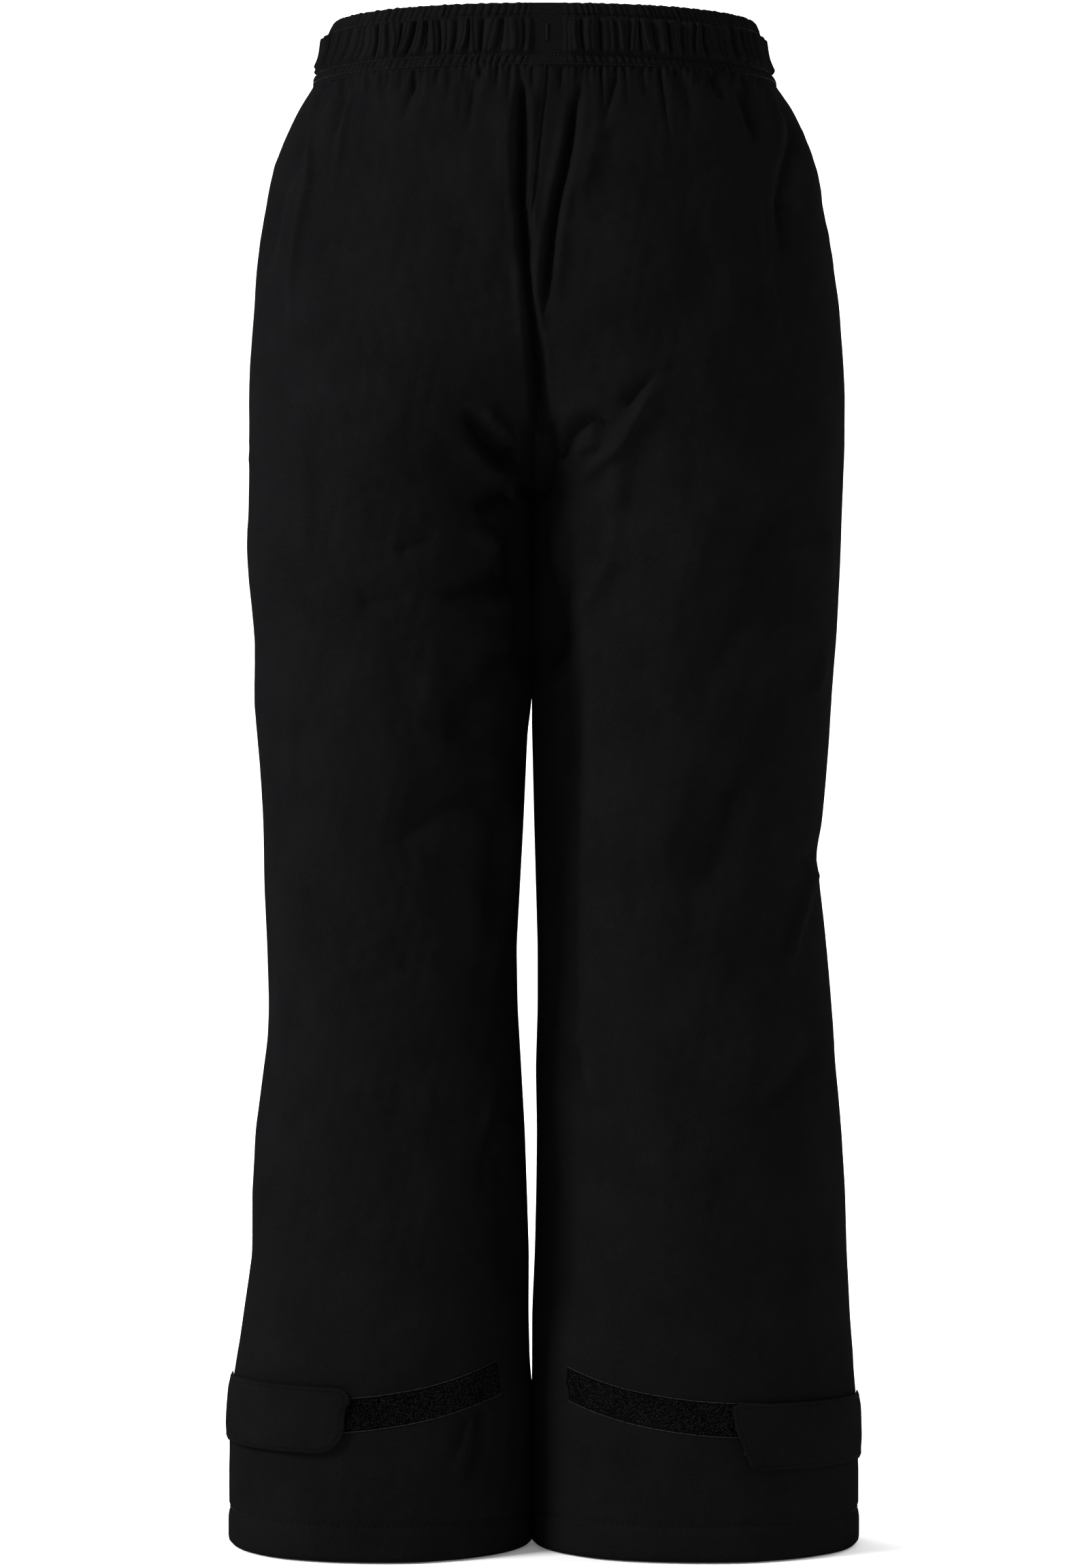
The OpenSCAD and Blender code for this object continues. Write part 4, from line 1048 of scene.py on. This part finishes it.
kk = np.arange(len(us))
ze = np.linspace(841.6, 823.0, 40)
rib = .14 * np.cos(2 * np.pi * (ze - 823) / 1.86)
o1, _ = round_points(ze, (-1.95 + rib)[:, None])
o2, _ = round_points(ze, (-3.1 - rib)[:, None])
o = add("waist_elastic_ribbed", solid(o1, o2), ELAST, uv=grid_uv(o1), rep=["waist_elastic"])
declare_sheet(o, o1, None)
zf = np.linspace(847.6, 817.2, 44)
amp = .55 * (1 - .8 * gauss(zf - 843.5, 1.2) - .8 * gauss(zf - 822, 1.2))
ph = kk / 2.6 + .8 * np.sin(kk / 13.0)
pl = np.abs(np.cos(np.pi * ph[None, :] * .5 + .3 * np.sin(zf[:, None] / 7 + kk[None, :] / 21))) ** .8
flat_front = np.where(fbs > 0, 1 - smooth(us, .7, .78), 1)[None, :]
o1, n1 = round_points(zf, -4.1 - amp[:, None] * pl * flat_front)
o = add("waist_facing_gathered", solid(o1, o1 - n1 * .6), LINING, uv=grid_uv(o1), rep=["waistband_facing"])
declare_sheet(o, o1, None)
parts = []
for zr in (843.5, 822.0):
    q, nn = round_points([zr], -4.7)
    c, t, m = resample(q[0], -nn[0], 2.12)
    parts.append(stitches(c + m * .25, t, m, 1.62, .24, seed=61))
add("waist_facing_stitches", cat(parts), THREAD)

# ---------------------------------------------------------------- topstitches
def path_S(s, fb, u, z, off, follow=1.0):
    p, n = S(s, fb, np.asarray(u, float)[None, :], np.asarray(z, float)[None, :], off, follow)
    return p[0], n[0]


z = np.linspace(813.5, 648, 260)
w = np.full(len(z), 2.9)
p, n = path_S(-1, -1, 1 - w / 250, z, .05)
c, t, m = resample(p, n, 1.75)
add("seat_topstitch", stitches(c + m * .1, t, m, 1.3, .2, seed=3), DARK_THREAD)
parts = []
for s in (-1, 1):
    # beside the fly and round its foot
    z = np.linspace(812, 668, 140)
    for inset in (2.6,):
        uu = fly_u(s, z) - (inset / 7.0) * (1 - fly_u(s, z)) * 1.0
        p, n = path_S(s, 1, uu, z, .02)
        c, t, m = resample(p, n, 2.4)
        parts.append(stitches(c + m * .1, t, m, 1.8, .2, seed=13))
    # round each pocket's mouth
    zz = np.concatenate([np.linspace(662, 776, 90), np.full(12, 776), np.linspace(776, 662, 90), np.full(12, 662)])
    ua, ub = .260, .340
    uu = np.concatenate([np.full(90, ua), np.linspace(ua, ub, 12), np.full(90, ub), np.linspace(ub, ua, 12)])
    p, n = path_S(s, 1, uu, zz, .02)
    c, t, m = resample(p, n, 2.4, closed=True)
    parts.append(stitches(c + m * .1, t, m, 1.8, .2, seed=14))
z = np.linspace(660, 606, 60)
p, n = path_S(-1, 1, np.full(60, 1 - 2.9 / 250), z, .02)
c, t, m = resample(p, n, 2.4)
parts.append(stitches(c + m * .1, t, m, 1.8, .2, seed=15))
add("front_topstitches", cat(parts), THREAD)


def satin(p, n, across, pitch, width, r, seed=1):
    """A dense bar of zigzag thread along a path."""
    c, t, m = resample(p, n, pitch)
    b = np.cross(m, t)
    return stitches(c + m * .2, b, m, width, r, tilt=.14, seed=seed)


parts = []
fb, u, arc, pc = BAND[-1]
zb = np.linspace(828.5, 837.8, 30)
j = (fb < 0)
xs = pc[j, 0]
ub = np.interp(1.7, xs[np.argsort(xs)], u[j][np.argsort(xs)])
q, nn = frame_of(-1, -1, np.full(30, ub), zb)
parts.append(satin(q + nn * 1.25, nn, 0, .42, 1.5, .2))
for s in (-1, 1):
    for zc in (777.5, 660.5):
        uu = np.linspace(.27, .33, 20)
        p, n = path_S(s, 1, uu, np.full(20, zc), .15, 1.0)
        parts.append(satin(p, n, 0, .45, 2.0, .22, seed=8))
add("bartack_thread", cat(parts), THREAD, rep=["bartacks"])

# ---------------------------------------------------------------- ankle tabs
def round_poly(pts, radii, n=8):
    out = []
    m = len(pts)
    for i in range(m):
        p, r = np.array(pts[i], float), radii[i]
        if r <= 0:
            out.append(p)
            continue
        a, b = unit(np.array(pts[i - 1], float) - p), unit(np.array(pts[(i + 1) % m], float) - p)
        half = math.acos(max(-1, min(1, float(a @ b)))) / 2
        d = r / math.tan(half)
        c = p + unit(a + b) * r / math.sin(half)
        s0, s1 = p + a * d - c, p + b * d - c
        a0, a1 = math.atan2(s0[1], s0[0]), math.atan2(s1[1], s1[0])
        da = (a1 - a0 + math.pi) % (2 * math.pi) - math.pi
        for t in np.linspace(0, 1, n):
            q = a0 + da * t
            out.append(c + r * np.array([math.cos(q), math.sin(q)]))
    return np.array(out)


TAB_U = .444
GAP_U, GAP_V = [0, .03, .08, .14, .20, .444], [.15, .4, 1.0, 1.8, 2.15, 2.15]


def tab_shape(s):
    z0 = 51.0 if s > 0 else 60.0
    z1 = z0 + 36
    q, _ = base(s, -1, np.linspace(0, TAB_U, 60), np.full(60, (z0 + z1) / 2))
    L = np.linalg.norm(np.diff(q, axis=0), axis=1).sum()
    if s < 0:
        pts, rad = [(0, z0), (L, z0), (L, z1), (0, z1)], [0, 14, 7.5, 0]
    else:
        pts, rad = [(0, z0), (L - 8.2, z0), (L - .6, z0 + 23), (L, z1), (0, z1)], [0, 5, 12, 3, 0]
    return z0, z1, L, round_poly(pts, rad)


def tab_lift(s, a, L):
    """The right tab runs slightly uphill to the middle of the leg."""
    return (-2.2 * (1 - a / L) if s > 0 else 0.6 * (a / L) - .6)


for s, side in SIDES.items():
    z0, z1, L, poly = tab_shape(s)
    k = poly[:, 0] > 1e-6
    end = poly[k]
    end = end[np.argsort(end[:, 1])]
    nr, ncol = 60, 120
    t = np.linspace(0, 1, nr)
    zr = z0 + (z1 - z0) * (.5 - .5 * np.cos(np.pi * t)) * 1.0
    a_end = np.interp(zr, end[:, 1], end[:, 0])
    qc = np.linspace(0, 1, ncol)
    qc = 1 - (1 - qc) ** 1.25
    A = a_end[:, None] * qc[None, :]
    Zr = np.broadcast_to(zr[:, None], A.shape)
    # distance to the outline, except at the root
    edge = np.full(A.shape, 1e9)
    outl = np.vstack([[(0, z0)], poly[k], [(0, z1)]])
    edge, _, _ = line_dist(A, Zr, outl)
    U = A / L * TAB_U
    Zt = Zr + tab_lift(s, A, L)
    p, n = frame_of(s, -1, U, Zt)
    gap = np.interp(U, GAP_U, GAP_V)
    body = smooth(edge, -.3, 1.9)
    puff = .35 * smooth(edge, 2.4, 9) + .12 * wob(A, Zr, 22, 90 + s) * smooth(edge, 2, 6)
    groove = -.38 * gauss(edge - 1.95, .55)
    out = gap + .98 + .75 * body + puff + groove - .12
    inn = gap + .42 * (1 - body)
    outer, inner = p + n * out[..., None], p + n * inn[..., None]
    tab = add(f"ankle_tab_sewn_{side}", solid(outer, inner), SHELL, uv=grid_uv(p), rep=[f"ankle_tab_{side}"], ride=False, sharp=70)
    w, l = L, 36.0
    flat_sizes[tab.name] = [round(L), 36, round(L * 36 / 100)]
    # edge stitches, 1.9 mm in from the outline
    path = []
    d = np.diff(outl, axis=0)
    tan = unit(np.gradient(outl, axis=0))
    nor = np.stack([-tan[:, 1], tan[:, 0]], -1)
    ins = outl + nor * 1.95
    if ((ins - outl.mean(0)) ** 2).sum() > ((outl - outl.mean(0)) ** 2).sum():
        ins = outl - nor * 1.95
    seg = np.concatenate([[0], np.cumsum(np.linalg.norm(np.diff(ins, axis=0), axis=1))])
    tt = np.linspace(0, seg[-1], 400)
    ia, iz = np.interp(tt, seg, ins[:, 0]), np.interp(tt, seg, ins[:, 1])
    ok = (ia > 3.0) & (iz > z0 + 1) & (iz < z1 - 1)
    ia, iz = ia[ok], iz[ok]
    q, nn = frame_of(s, -1, ia / L * TAB_U, iz + tab_lift(s, ia, L))
    go = np.interp(ia / L * TAB_U, GAP_U, GAP_V) + .98 + .75 - .12 - .38
    c, t3, m = resample(q + nn * go[:, None], nn, 1.8)
    st = add(f"ankle_tab_stitches_{side}", stitches(c + m * .16, t3, m, 1.35, .2, seed=70 + s), DARK_THREAD, ride=False)
    pa, _ = frame_of(s, -1, np.array([0.0]), np.array([(z0 + z1) / 2]))
    pb, _ = frame_of(s, -1, np.array([.05]), np.array([(z0 + z1) / 2]))
    a3, b3 = pa[0] / 1000, pb[0] / 1000
    a3 = a3 + (a3 - b3) * .15
    for ob in (tab, st):
        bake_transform(ob)

    # hook tape under the end of the tab
    zc = (z0 + z1) / 2
    U, Zh = np.meshgrid(np.linspace(.245, .424, 60), np.linspace(zc - 9.7, zc + 9.7, 40))
    A = U / TAB_U * L
    p, n = frame_of(s, -1, U, Zh + tab_lift(s, A, L))
    o1, o2 = p + n * 2.1, p + n * 1.55
    parts = [solid(o1, o2)]
    hu, hz = np.meshgrid(np.linspace(.25, .419, 22), np.linspace(zc - 8.6, zc + 8.6, 13))
    hp, hn = frame_of(s, -1, hu.ravel(), hz.ravel() + tab_lift(s, hu.ravel() / TAB_U * L, L))
    hc = hp + hn * 1.42
    side_v = unit(np.cross(hn, np.array([0, 0, 1.0])))
    parts.append(stitches(hc, side_v, -hn, .95, .17, seed=9))
    add(f"hook_tape_{side}", cat(parts), HOOK, body=f"ankle_tab_{side}_body", rep=[f"hook_patch_{side}"], sharp=60)

    # loop strip: woven edges, a bed of pile, and loops standing out of it
    uu, zz2 = STRIP_Z[s]
    nu2, nz2 = ((250, 44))
    us2 = np.linspace(.21, .789, nu2)
    zl = curve(np.stack([uu, zz2], -1), 8)
    lowz = np.interp(us2, zl[:, 0], zl[:, 1])
    v = np.linspace(0, 1, nz2)
    U = np.broadcast_to(us2[None, :], (nz2, nu2))
    # the inner end is cut square to the strip
    Zs = lowz[None, :] + 19.6 * v[:, None]
    lean = (v[:, None] - .5) * 19.6 * .08 * smooth(us2, .5, .79)[None, :]
    Us = U - lean / 170.0
    p, n = S(s, -1, Us, Zs, 0.0)
    r = np.random.RandomState(100 + s)
    ed = np.minimum(v, 1 - v)[:, None] * 19.6 + 0 * U
    ede = np.minimum(ed, (.789 - U) * 170)
    pile = smooth(ede, 1.2, 2.0)
    rough_ = r.uniform(-1, 1, U.shape)
    bump_h = .30 + pile * (.30 + .30 * rough_) + (1 - pile) * (.12 + .06 * np.sin(us2[None, :] * 170 / .55))
    bump_h = np.where(ede < .35, bump_h * .5, bump_h)
    base_s = add(f"loop_strip_{side}_pile", solid(p + n * bump_h[..., None], p + n * .06), PILE, uv=grid_uv(p), rep=[f"loop_strip_{side}"], sharp=0)
    declare_sheet(base_s, p, None)
    # woven edges
    for nm, va, vb in (("lower", 0.008, .040), ("upper", .960, .992)):
        vv = np.linspace(va, vb, 6)
        Zs = lowz[None, :] + 19.6 * vv[:, None]
        lean = (vv[:, None] - .5) * 19.6 * .08 * smooth(us2, .5, .79)[None, :]
        p, n = S(s, -1, us2[None, :] - lean / 170.0, Zs, 0.0)
        rb_ = .10 * np.sin(us2[None, :] * 170 / .32 + vv[:, None] * 60)
        prof = np.sin(np.linspace(.15, np.pi - .15, 6))[:, None]
        add(f"loop_strip_{side}_{nm}_edge", solid(p + n * (.42 + .12 * prof + rb_)[..., None], p + n * .3), SELV, uv=grid_uv(p), sharp=0)
    # loops
    nl = 3000
    lu, lv = r.uniform(.30, .782, nl), r.uniform(.085, .915, nl)
    lz = np.interp(lu, us2, lowz) + 19.6 * lv
    le = (lv - .5) * 19.6 * .08 * smooth(lu, .5, .79)
    q, nn = S(s, -1, (lu - le / 170)[None, :], lz[None, :], 0.0)
    q, nn = q[0], nn[0]
    ang = r.uniform(0, np.pi, nl)
    t1 = unit(np.cross(nn, np.array([0, 0, 1.0])))
    t2 = np.cross(nn, t1)
    tv = t1 * np.cos(ang)[:, None] + t2 * np.sin(ang)[:, None]
    add(f"loop_strip_{side}_loops", stitches(q + nn * r.uniform(.62, .92, nl)[:, None], tv, nn, .6, .10, seed=9), SELV)

# ---------------------------------------------------------------- fly, flap, pockets
def teeth(length, pitch=2.2):
    """Two rows of interlocked coil teeth in the zip's own frame: x across, y out, z along."""
    prof = np.array([[-.55, -.32], [-.3, -.5], [.9, -.5], [1.9, -.38], [2.15, 0], [1.9, .38], [.9, .5], [-.3, .5]])
    rings = [(1.0, .86), (1.22, 1.0), (2.3, 1.0), (2.52, .84)]
    vs, fs, k = [], [], 0
    n = int(length / pitch)
    for i in range(n):
        for sd, dz in ((1, 0), (-1, pitch / 2)):
            z0 = .8 + i * pitch + dz
            if z0 > length - .6:
                continue
            for y, sc in rings:
                c = prof * sc + np.array([.1 * (1 - sc), 0])
                vs.append(np.stack([sd * c[:, 0], np.full(8, y), z0 + c[:, 1] * 1.0], -1))
            for a in range(3):
                for b in range(8):
                    q = [k + a * 8 + b, k + a * 8 + (b + 1) % 8, k + (a + 1) * 8 + (b + 1) % 8, k + (a + 1) * 8 + b]
                    fs.append(q if sd < 0 else q[::-1])
            for a, rev in ((0, sd < 0), (3, sd > 0)):
                e = [k + a * 8 + b for b in range(8)]
                for f in ([e[0], e[1], e[2], e[3]], [e[0], e[3], e[4], e[7]], [e[4], e[5], e[6], e[7]]):
                    fs.append(f[::-1] if rev else f)
            k += 32
    return np.concatenate(vs), np.array(fs)


def tape(length, half, inner=.25, y0=-.6, y1=0.0, n=60):
    """Zip tape: two woven strips whose inner edges carry the teeth on a cord."""
    parts = []
    for sd in (-1, 1):
        x = sd * np.array([inner, inner + .4, 1.0, 1.6, 2.2, 2.5, 3.4, 4.4, half - 1.2, half - .4, half])
        prof = np.array([.1, .5, .75, .8, .55, .05, 0, -.02, 0, .05, 0]) * .9
        z = np.linspace(0, length, n)
        X, Z = np.meshgrid(x, z)
        outer = np.stack([X, np.broadcast_to(y1 + prof - .1, X.shape), Z], -1)
        inn = np.stack([X, np.full(X.shape, y0), Z], -1)
        parts.append(solid(outer, inn))
    return cat(parts)


def move(vf, m, o):
    v, f = vf
    return v @ m.T + o, f


FRONT_Y = 84.0
FLY_Y, FLY_Z0, FLY_L = 82.0, 668.0, 146.0
I3 = np.eye(3)
vf = move(tape(FLY_L + 1.6, 12.9), I3, SH + [0, FLY_Y, FLY_Z0 - 1.8])
o = add("fly_zip_woven_tape", vf, WOVEN, uv=vf[0][:, [0, 2]] * 1.0, rep=["fly_zip_tape"])
add("fly_zip_tooth_rows", move(teeth(FLY_L), I3, SH + [0, FLY_Y, FLY_Z0]), TEETH, rep=["fly_zip_teeth"], sharp=50)
X, Z = np.meshgrid(np.linspace(-15.8, 15.8, 40), np.linspace(813.6, 660.4, 120))
e2 = np.minimum(15.8 - np.abs(X), np.minimum(Z - 660.4, 813.6 - Z))
yo = FLY_Y - 1.15 - .25 * (1 - smooth(e2, 0, 1.5)) + .05 * wob(X, Z, 18, 5)
yi = FLY_Y - 1.95 + .25 * (1 - smooth(e2, 0, 1.5))
o = add("fly_shield_cloth", solid(np.stack([X, yo, Z], -1) + SH, np.stack([X, yi, Z], -1) + SH), SHELL, uv=np.stack([X, Z], -1), rep=["fly_shield"])
flat_sizes[o.name] = [32, 153, 48]

# waist flap: closed cloth strap with edge stitches, rounded at its free end
fx0, fx1, fz0, fz1 = -22.0, 24.0, 819.0, 847.0
poly = round_poly([(fx0, fz0), (fx1, fz0), (fx1, fz1), (fx0, fz1)], [0, 6, 6, 0])
end = poly[poly[:, 0] > fx0 + 1]
end = end[np.argsort(end[:, 1])]
t = np.linspace(0, 1, 44)
zr = fz0 + (fz1 - fz0) * (.5 - .5 * np.cos(np.pi * t))
xe = np.interp(zr, end[:, 1], end[:, 0])
q = np.linspace(0, 1, 72)
X = fx0 - .55 + (xe[:, None] - fx0 + .55) * q[None, :]
Zf = np.broadcast_to(zr[:, None], X.shape)
outl = np.vstack([[(fx0, fz0)], poly[poly[:, 0] > fx0 + 1], [(fx0, fz1)]])
ed, _, _ = line_dist(X, Zf, outl)
rim = 1 - smooth(ed, -.2, 1.4)
root = 1 - smooth(X, fx0 - .55, fx0 + .5)
cap = np.hypot(X - 13, Zf - 833)
yo = 88.7 + .7 - .38 * rim - .30 * gauss(ed - 1.9, .5) * smooth(X, fx0, fx0 + 2) - .35 * root + (.10 * wob(X, Zf, 16, 8)) * smooth(ed, 2, 5) * smooth(cap, 6.5, 9) * smooth(X, fx0 + 2, fx0 + 9) - .12 * smooth(cap, 5, 9) * 0
yi = 88.7 - .7 + .38 * rim + .35 * root
o = add("waist_flap_cloth", solid(np.stack([X, yo, Zf], -1) + SH, np.stack([X, yi, Zf], -1) + SH), SHELL, body="waist_flap_body", uv=np.stack([X, Zf], -1), rep=["waist_flap"], sharp=70)
flat_sizes[o.name] = [46, 28, 13]
tan = unit(np.gradient(outl, axis=0))
nor = np.stack([-tan[:, 1], tan[:, 0]], -1)
ins = outl + nor * 1.9
if ((ins - outl.mean(0)) ** 2).sum() > ((outl - outl.mean(0)) ** 2).sum():
    ins = outl - nor * 1.9
sg = np.concatenate([[0], np.cumsum(np.linalg.norm(np.diff(ins, axis=0), axis=1))])
tt = np.linspace(0, sg[-1], 300)
ix, iz = np.interp(tt, sg, ins[:, 0]), np.interp(tt, sg, ins[:, 1])
ok = (ix > fx0 + 2) & (iz > fz0 + 1) & (iz < fz1 - 1)
pp = np.stack([ix[ok], np.full(ok.sum(), 89.12), iz[ok]], -1) + SH
c, t3, m = resample(pp, np.tile([0, 1.0, 0], (len(pp), 1)), 2.1)
add("waist_flap_stitches", stitches(c + m * .14, t3, m, 1.6, .2, seed=33), THREAD, body="waist_flap_body")

# the flap's sewn root
pr = np.array([(-31.6, 84.6), (-31.2, 85.3), (-29, 86.0), (-26.5, 87.3), (-24.4, 88.35), (-23.5, 88.75), (-22.95, 88.7)])
pi = np.array([(-31.4, 84.2), (-31.0, 84.3), (-29, 84.6), (-26.5, 85.6), (-24.6, 87.0), (-23.5, 87.8), (-22.9, 88.1)])
zr = 818.8 + 28.4 * (.5 - .5 * np.cos(np.pi * np.linspace(0, 1, 30)))
ez = 1 - smooth(np.minimum(zr - 818.8, 847.2 - zr), -.2, 1.3)
pc2 = curve(pr, 5); pi2 = curve(pi, 5)
midl = (pc2 + pi2) / 2
outer = np.stack([np.stack([np.r_[midl[:, 0] + (pc2[:, 0] - midl[:, 0]) * (1 - .6 * e1)], np.r_[midl[:, 1] + (pc2[:, 1] - midl[:, 1]) * (1 - .6 * e1)], np.full(len(pc2), z1)], -1) for z1, e1 in zip(zr, ez)])
inner = np.stack([np.stack([midl[:, 0] + (pi2[:, 0] - midl[:, 0]) * (1 - .6 * e1), midl[:, 1] + (pi2[:, 1] - midl[:, 1]) * (1 - .6 * e1), np.full(len(pc2), z1)], -1) for z1, e1 in zip(zr, ez)])
o = add("waist_flap_root", solid(outer + SH, inner + SH), SHELL, uv=grid_uv(outer), rep=["flap_anchor"], sharp=70)
flat_sizes[o.name] = [10, 28, 3]
loop = np.array([(-30.2, 821.5), (-30.2, 844.5)])
zz3 = np.linspace(821, 845, 40)
pp = np.stack([np.full(40, -30.0), np.full(40, 85.75), zz3], -1) + SH
c, t3, m = resample(pp, np.tile([-.25, 1.0, 0], (40, 1)), 2.1)
add("waist_flap_root_stitches", stitches(c + m * .12, t3, m, 1.6, .2, seed=34), THREAD)

# hand pockets: tape, teeth and bag
def cad_p(s, fb, u, z):
    """The CAD's own point, for what the zips run on."""
    T = lambda rows, q: float(np.interp(q, [a for a, _ in rows], [b for _, b in rows]))
    w = T(CADR if s > 0 else CADL, z)
    cy = T([[0,0],[400,2],[588,0],[664,2],[774,4],[850,6]], z)
    t = u * math.acos(SEAM_GAP / w)
    return np.array([s * w * math.cos(t), cy + fb * (84 - cy) * math.sin(t), z]) + SH


for s, side in SIDES.items():
    A, B = cad_p(s, 1, .3, 774), cad_p(s, 1, .3, 664)
    w = unit(A - B)
    t = unit((cad_p(s, 1, .33, 719) - cad_p(s, 1, .27, 719)) * s)
    n = unit(np.cross(t, w))
    uax = np.cross(n, w)
    M = np.stack([uax, n, w], 1)
    org = B + w * 1.2 - n * 2.35
    vf = tape(108, 7.4)
    uv = vf[0][:, [0, 2]]
    add(f"pocket_zip_woven_{side}", move(vf, M, org), WOVEN, uv=uv, rep=[f"pocket_zip_{side}"])
    add(f"pocket_zip_tooth_rows_{side}", move(teeth(108), M, org), TEETH, sharp=50)
    # bag: two plies closed at the edges
    us3 = np.linspace(.152, .608, 50)
    zs3 = np.linspace(786.5, 618.5, 80)
    cut = 1 - smooth(zs3, 664, 700)
    U = .152 + (us3[None, :] - .152) * (1 - .12 * cut[:, None] * 0)
    U, Zb = np.broadcast_arrays(U, zs3[:, None])
    p, nn = S(s, 1, U, Zb, 0.0, "in")
    e3 = np.minimum(np.minimum(U - .152, .608 - U) * 240, np.minimum(Zb - 618.5, 786.5 - Zb))
    full = smooth(e3, 0, 3)
    o = add(f"pocket_bag_{side}_cloth", solid(p - nn * (3.75 - .3 * full + .0 * U)[..., None], p - nn * (3.85 + .4 * full)[..., None]), LINING, uv=grid_uv(p), rep=[f"pocket_bag_{side}"])
    declare_sheet(o, p, None)

# ---------------------------------------------------------------- hanger loop and label
yb = float(np.interp(830, [774, 850], [4, 6])) - float(np.interp(830, [816, 850], [80, 76])) + 8.9
pts = curve([(-19.5, 846), (-19.5, 836), (-19.3, 828), (-17.6, 822.8), (-14.5, 821.4), (-6, 821.4), (0, 821.5), (6, 821.4), (14.5, 821.4), (17.6, 822.8), (19.3, 828), (19.5, 836), (19.5, 846)], 6)
tan = unit(np.gradient(pts, axis=0))
nor = np.stack([-tan[:, 1], tan[:, 0]], -1)
wv = np.linspace(-2.4, 2.4, 9)
ridge = .12 * np.cos(wv * 2.6)
outer = np.stack([np.stack([pts[:, 0] + nor[:, 0] * a, np.full(len(pts), yb + .15 + r1), pts[:, 1] + nor[:, 1] * a], -1) for a, r1 in zip(wv, -ridge)], 1) + SH
inner = np.stack([np.stack([pts[:, 0] + nor[:, 0] * a, np.full(len(pts), yb + 1.05 + r1), pts[:, 1] + nor[:, 1] * a], -1) for a, r1 in zip(wv, ridge)], 1) + SH
o = add("hanger_loop_tape", solid(outer, inner), WOVEN, uv=grid_uv(outer), rep=["hanger_loop"])
lw = float(np.linalg.norm(np.diff(pts, axis=0), axis=1).sum())
flat_sizes[o.name] = [5, round(lw), round(lw * 5 / 100)]

U, Zl = np.meshgrid(np.linspace(.155, .325, 40), np.linspace(719, 664.5, 50))
p, n = S(-1, -1, U, Zl, 0.0, "in")
bend = .35 * np.sin((719 - Zl) / 54.5 * 2.6) * smooth(719 - Zl, 3, 20)
o = add("care_label_satin", solid(p - n * (8.95 + bend)[..., None], p - n * (9.25 + bend)[..., None]), LABEL, uv=grid_uv(p), rep=["care_label"])
declare_sheet(o, p, None)
us4 = np.linspace(.16, .32, 40)
q, nn = path_S(-1, -1, us4, np.full(40, 716.5), -9.25, "in")
c, t3, m = resample(q, -nn, 2.4)
add("care_label_stitches", stitches(c + m * .12, t3, m, 1.8, .2, seed=3), THREAD)

# ---------------------------------------------------------------- studio
def stage_mesh():
    prof = [(-8, 0), (-4, 0), (-1, 0), (1, 0), (5, 0)] + [(5 + 1.5 * math.sin(a), 1.5 - 1.5 * math.cos(a)) for a in np.linspace(.1, math.pi / 2, 14)] + [(6.5, 5.5)]
    xs = np.linspace(-8, 8, 24)
    v = [(x, y, z - .0004) for y, z in prof for x in xs]
    n = len(xs)
    f = [(i * n + j, i * n + j + 1, (i + 1) * n + j + 1, (i + 1) * n + j) for i in range(len(prof) - 1) for j in range(n - 1)]
    me = bpy.data.meshes.new("studio floor")
    me.from_pydata(v, [], f)
    for q in me.polygons:
        q.use_smooth = True
    o = bpy.data.objects.new("studio_floor", me)
    scene.collection.objects.link(o)
    return o


floor = stage_mesh()
m, nt, b = nodes_of("pale floor")
tc = nt.nodes.new("ShaderNodeTexCoord")
link(nt, ramp(nt, noise(nt, tc.outputs["Object"], 3, 2), (.86, .86, .86), (.9, .9, .9)), b.inputs["Base Color"])
b.inputs["Roughness"].default_value = .9
b.inputs["Specular IOR Level"].default_value = .1
# painted light: the floor glows by its own emission, faint (0.12) near the garment and full (1.0) from 1.3 m back, so
# it shows as a white backdrop and also lights the garment from below
b.inputs["Emission Color"].default_value = (1, 1, 1, 1)
sepf = nt.nodes.new("ShaderNodeSeparateXYZ")
link(nt, tc.outputs["Object"], sepf.inputs[0])
floor_glow = nt.nodes.new("ShaderNodeMapRange")
floor_glow.inputs["From Min"].default_value, floor_glow.inputs["From Max"].default_value = .1, 1.3
floor_glow.inputs["To Min"].default_value, floor_glow.inputs["To Max"].default_value = .12, 1.0
link(nt, sepf.outputs[1], floor_glow.inputs["Value"])
link(nt, floor_glow.outputs["Result"], b.inputs["Emission Strength"])
floor.data.materials.append(m)

world = bpy.data.worlds.new("studio")
world.use_nodes = True
bg = world.node_tree.nodes["Background"]
bg.inputs["Color"].default_value = (1, 1, 1, 1)
bg.inputs["Strength"].default_value = .45
scene.world = world


def area(name, loc, power, size, target=(0, 0, .45), size_y=None):
    d = bpy.data.lights.new(name, "AREA")
    d.energy = power
    d.size = size
    if size_y:
        d.shape = "RECTANGLE"
        d.size_y = size_y
    o = bpy.data.objects.new(name, d)
    o.location = loc
    o.rotation_euler = (Vector(target) - Vector(loc)).to_track_quat("-Z", "Y").to_euler()
    scene.collection.objects.link(o)
    return o


area("key", (-2.5, -1.2, 2.0), 158, .8, size_y=1.2, target=(0, 0, .5))
area("fill", (2.5, -.2, 1.4), 26, .7, size_y=1.4, target=(0, 0, .5))
area("back_left", (-1.6, 2.4, 1.9), 40, 1.0, size_y=1.2, target=(0, 0, .5))
area("back_right", (1.9, 2.2, 1.5), 26, 1.0, size_y=1.2, target=(0, 0, .5))
area("top", (0, .6, 2.6), 14, 1.4)

print("FLAT", json.dumps(flat_sizes))
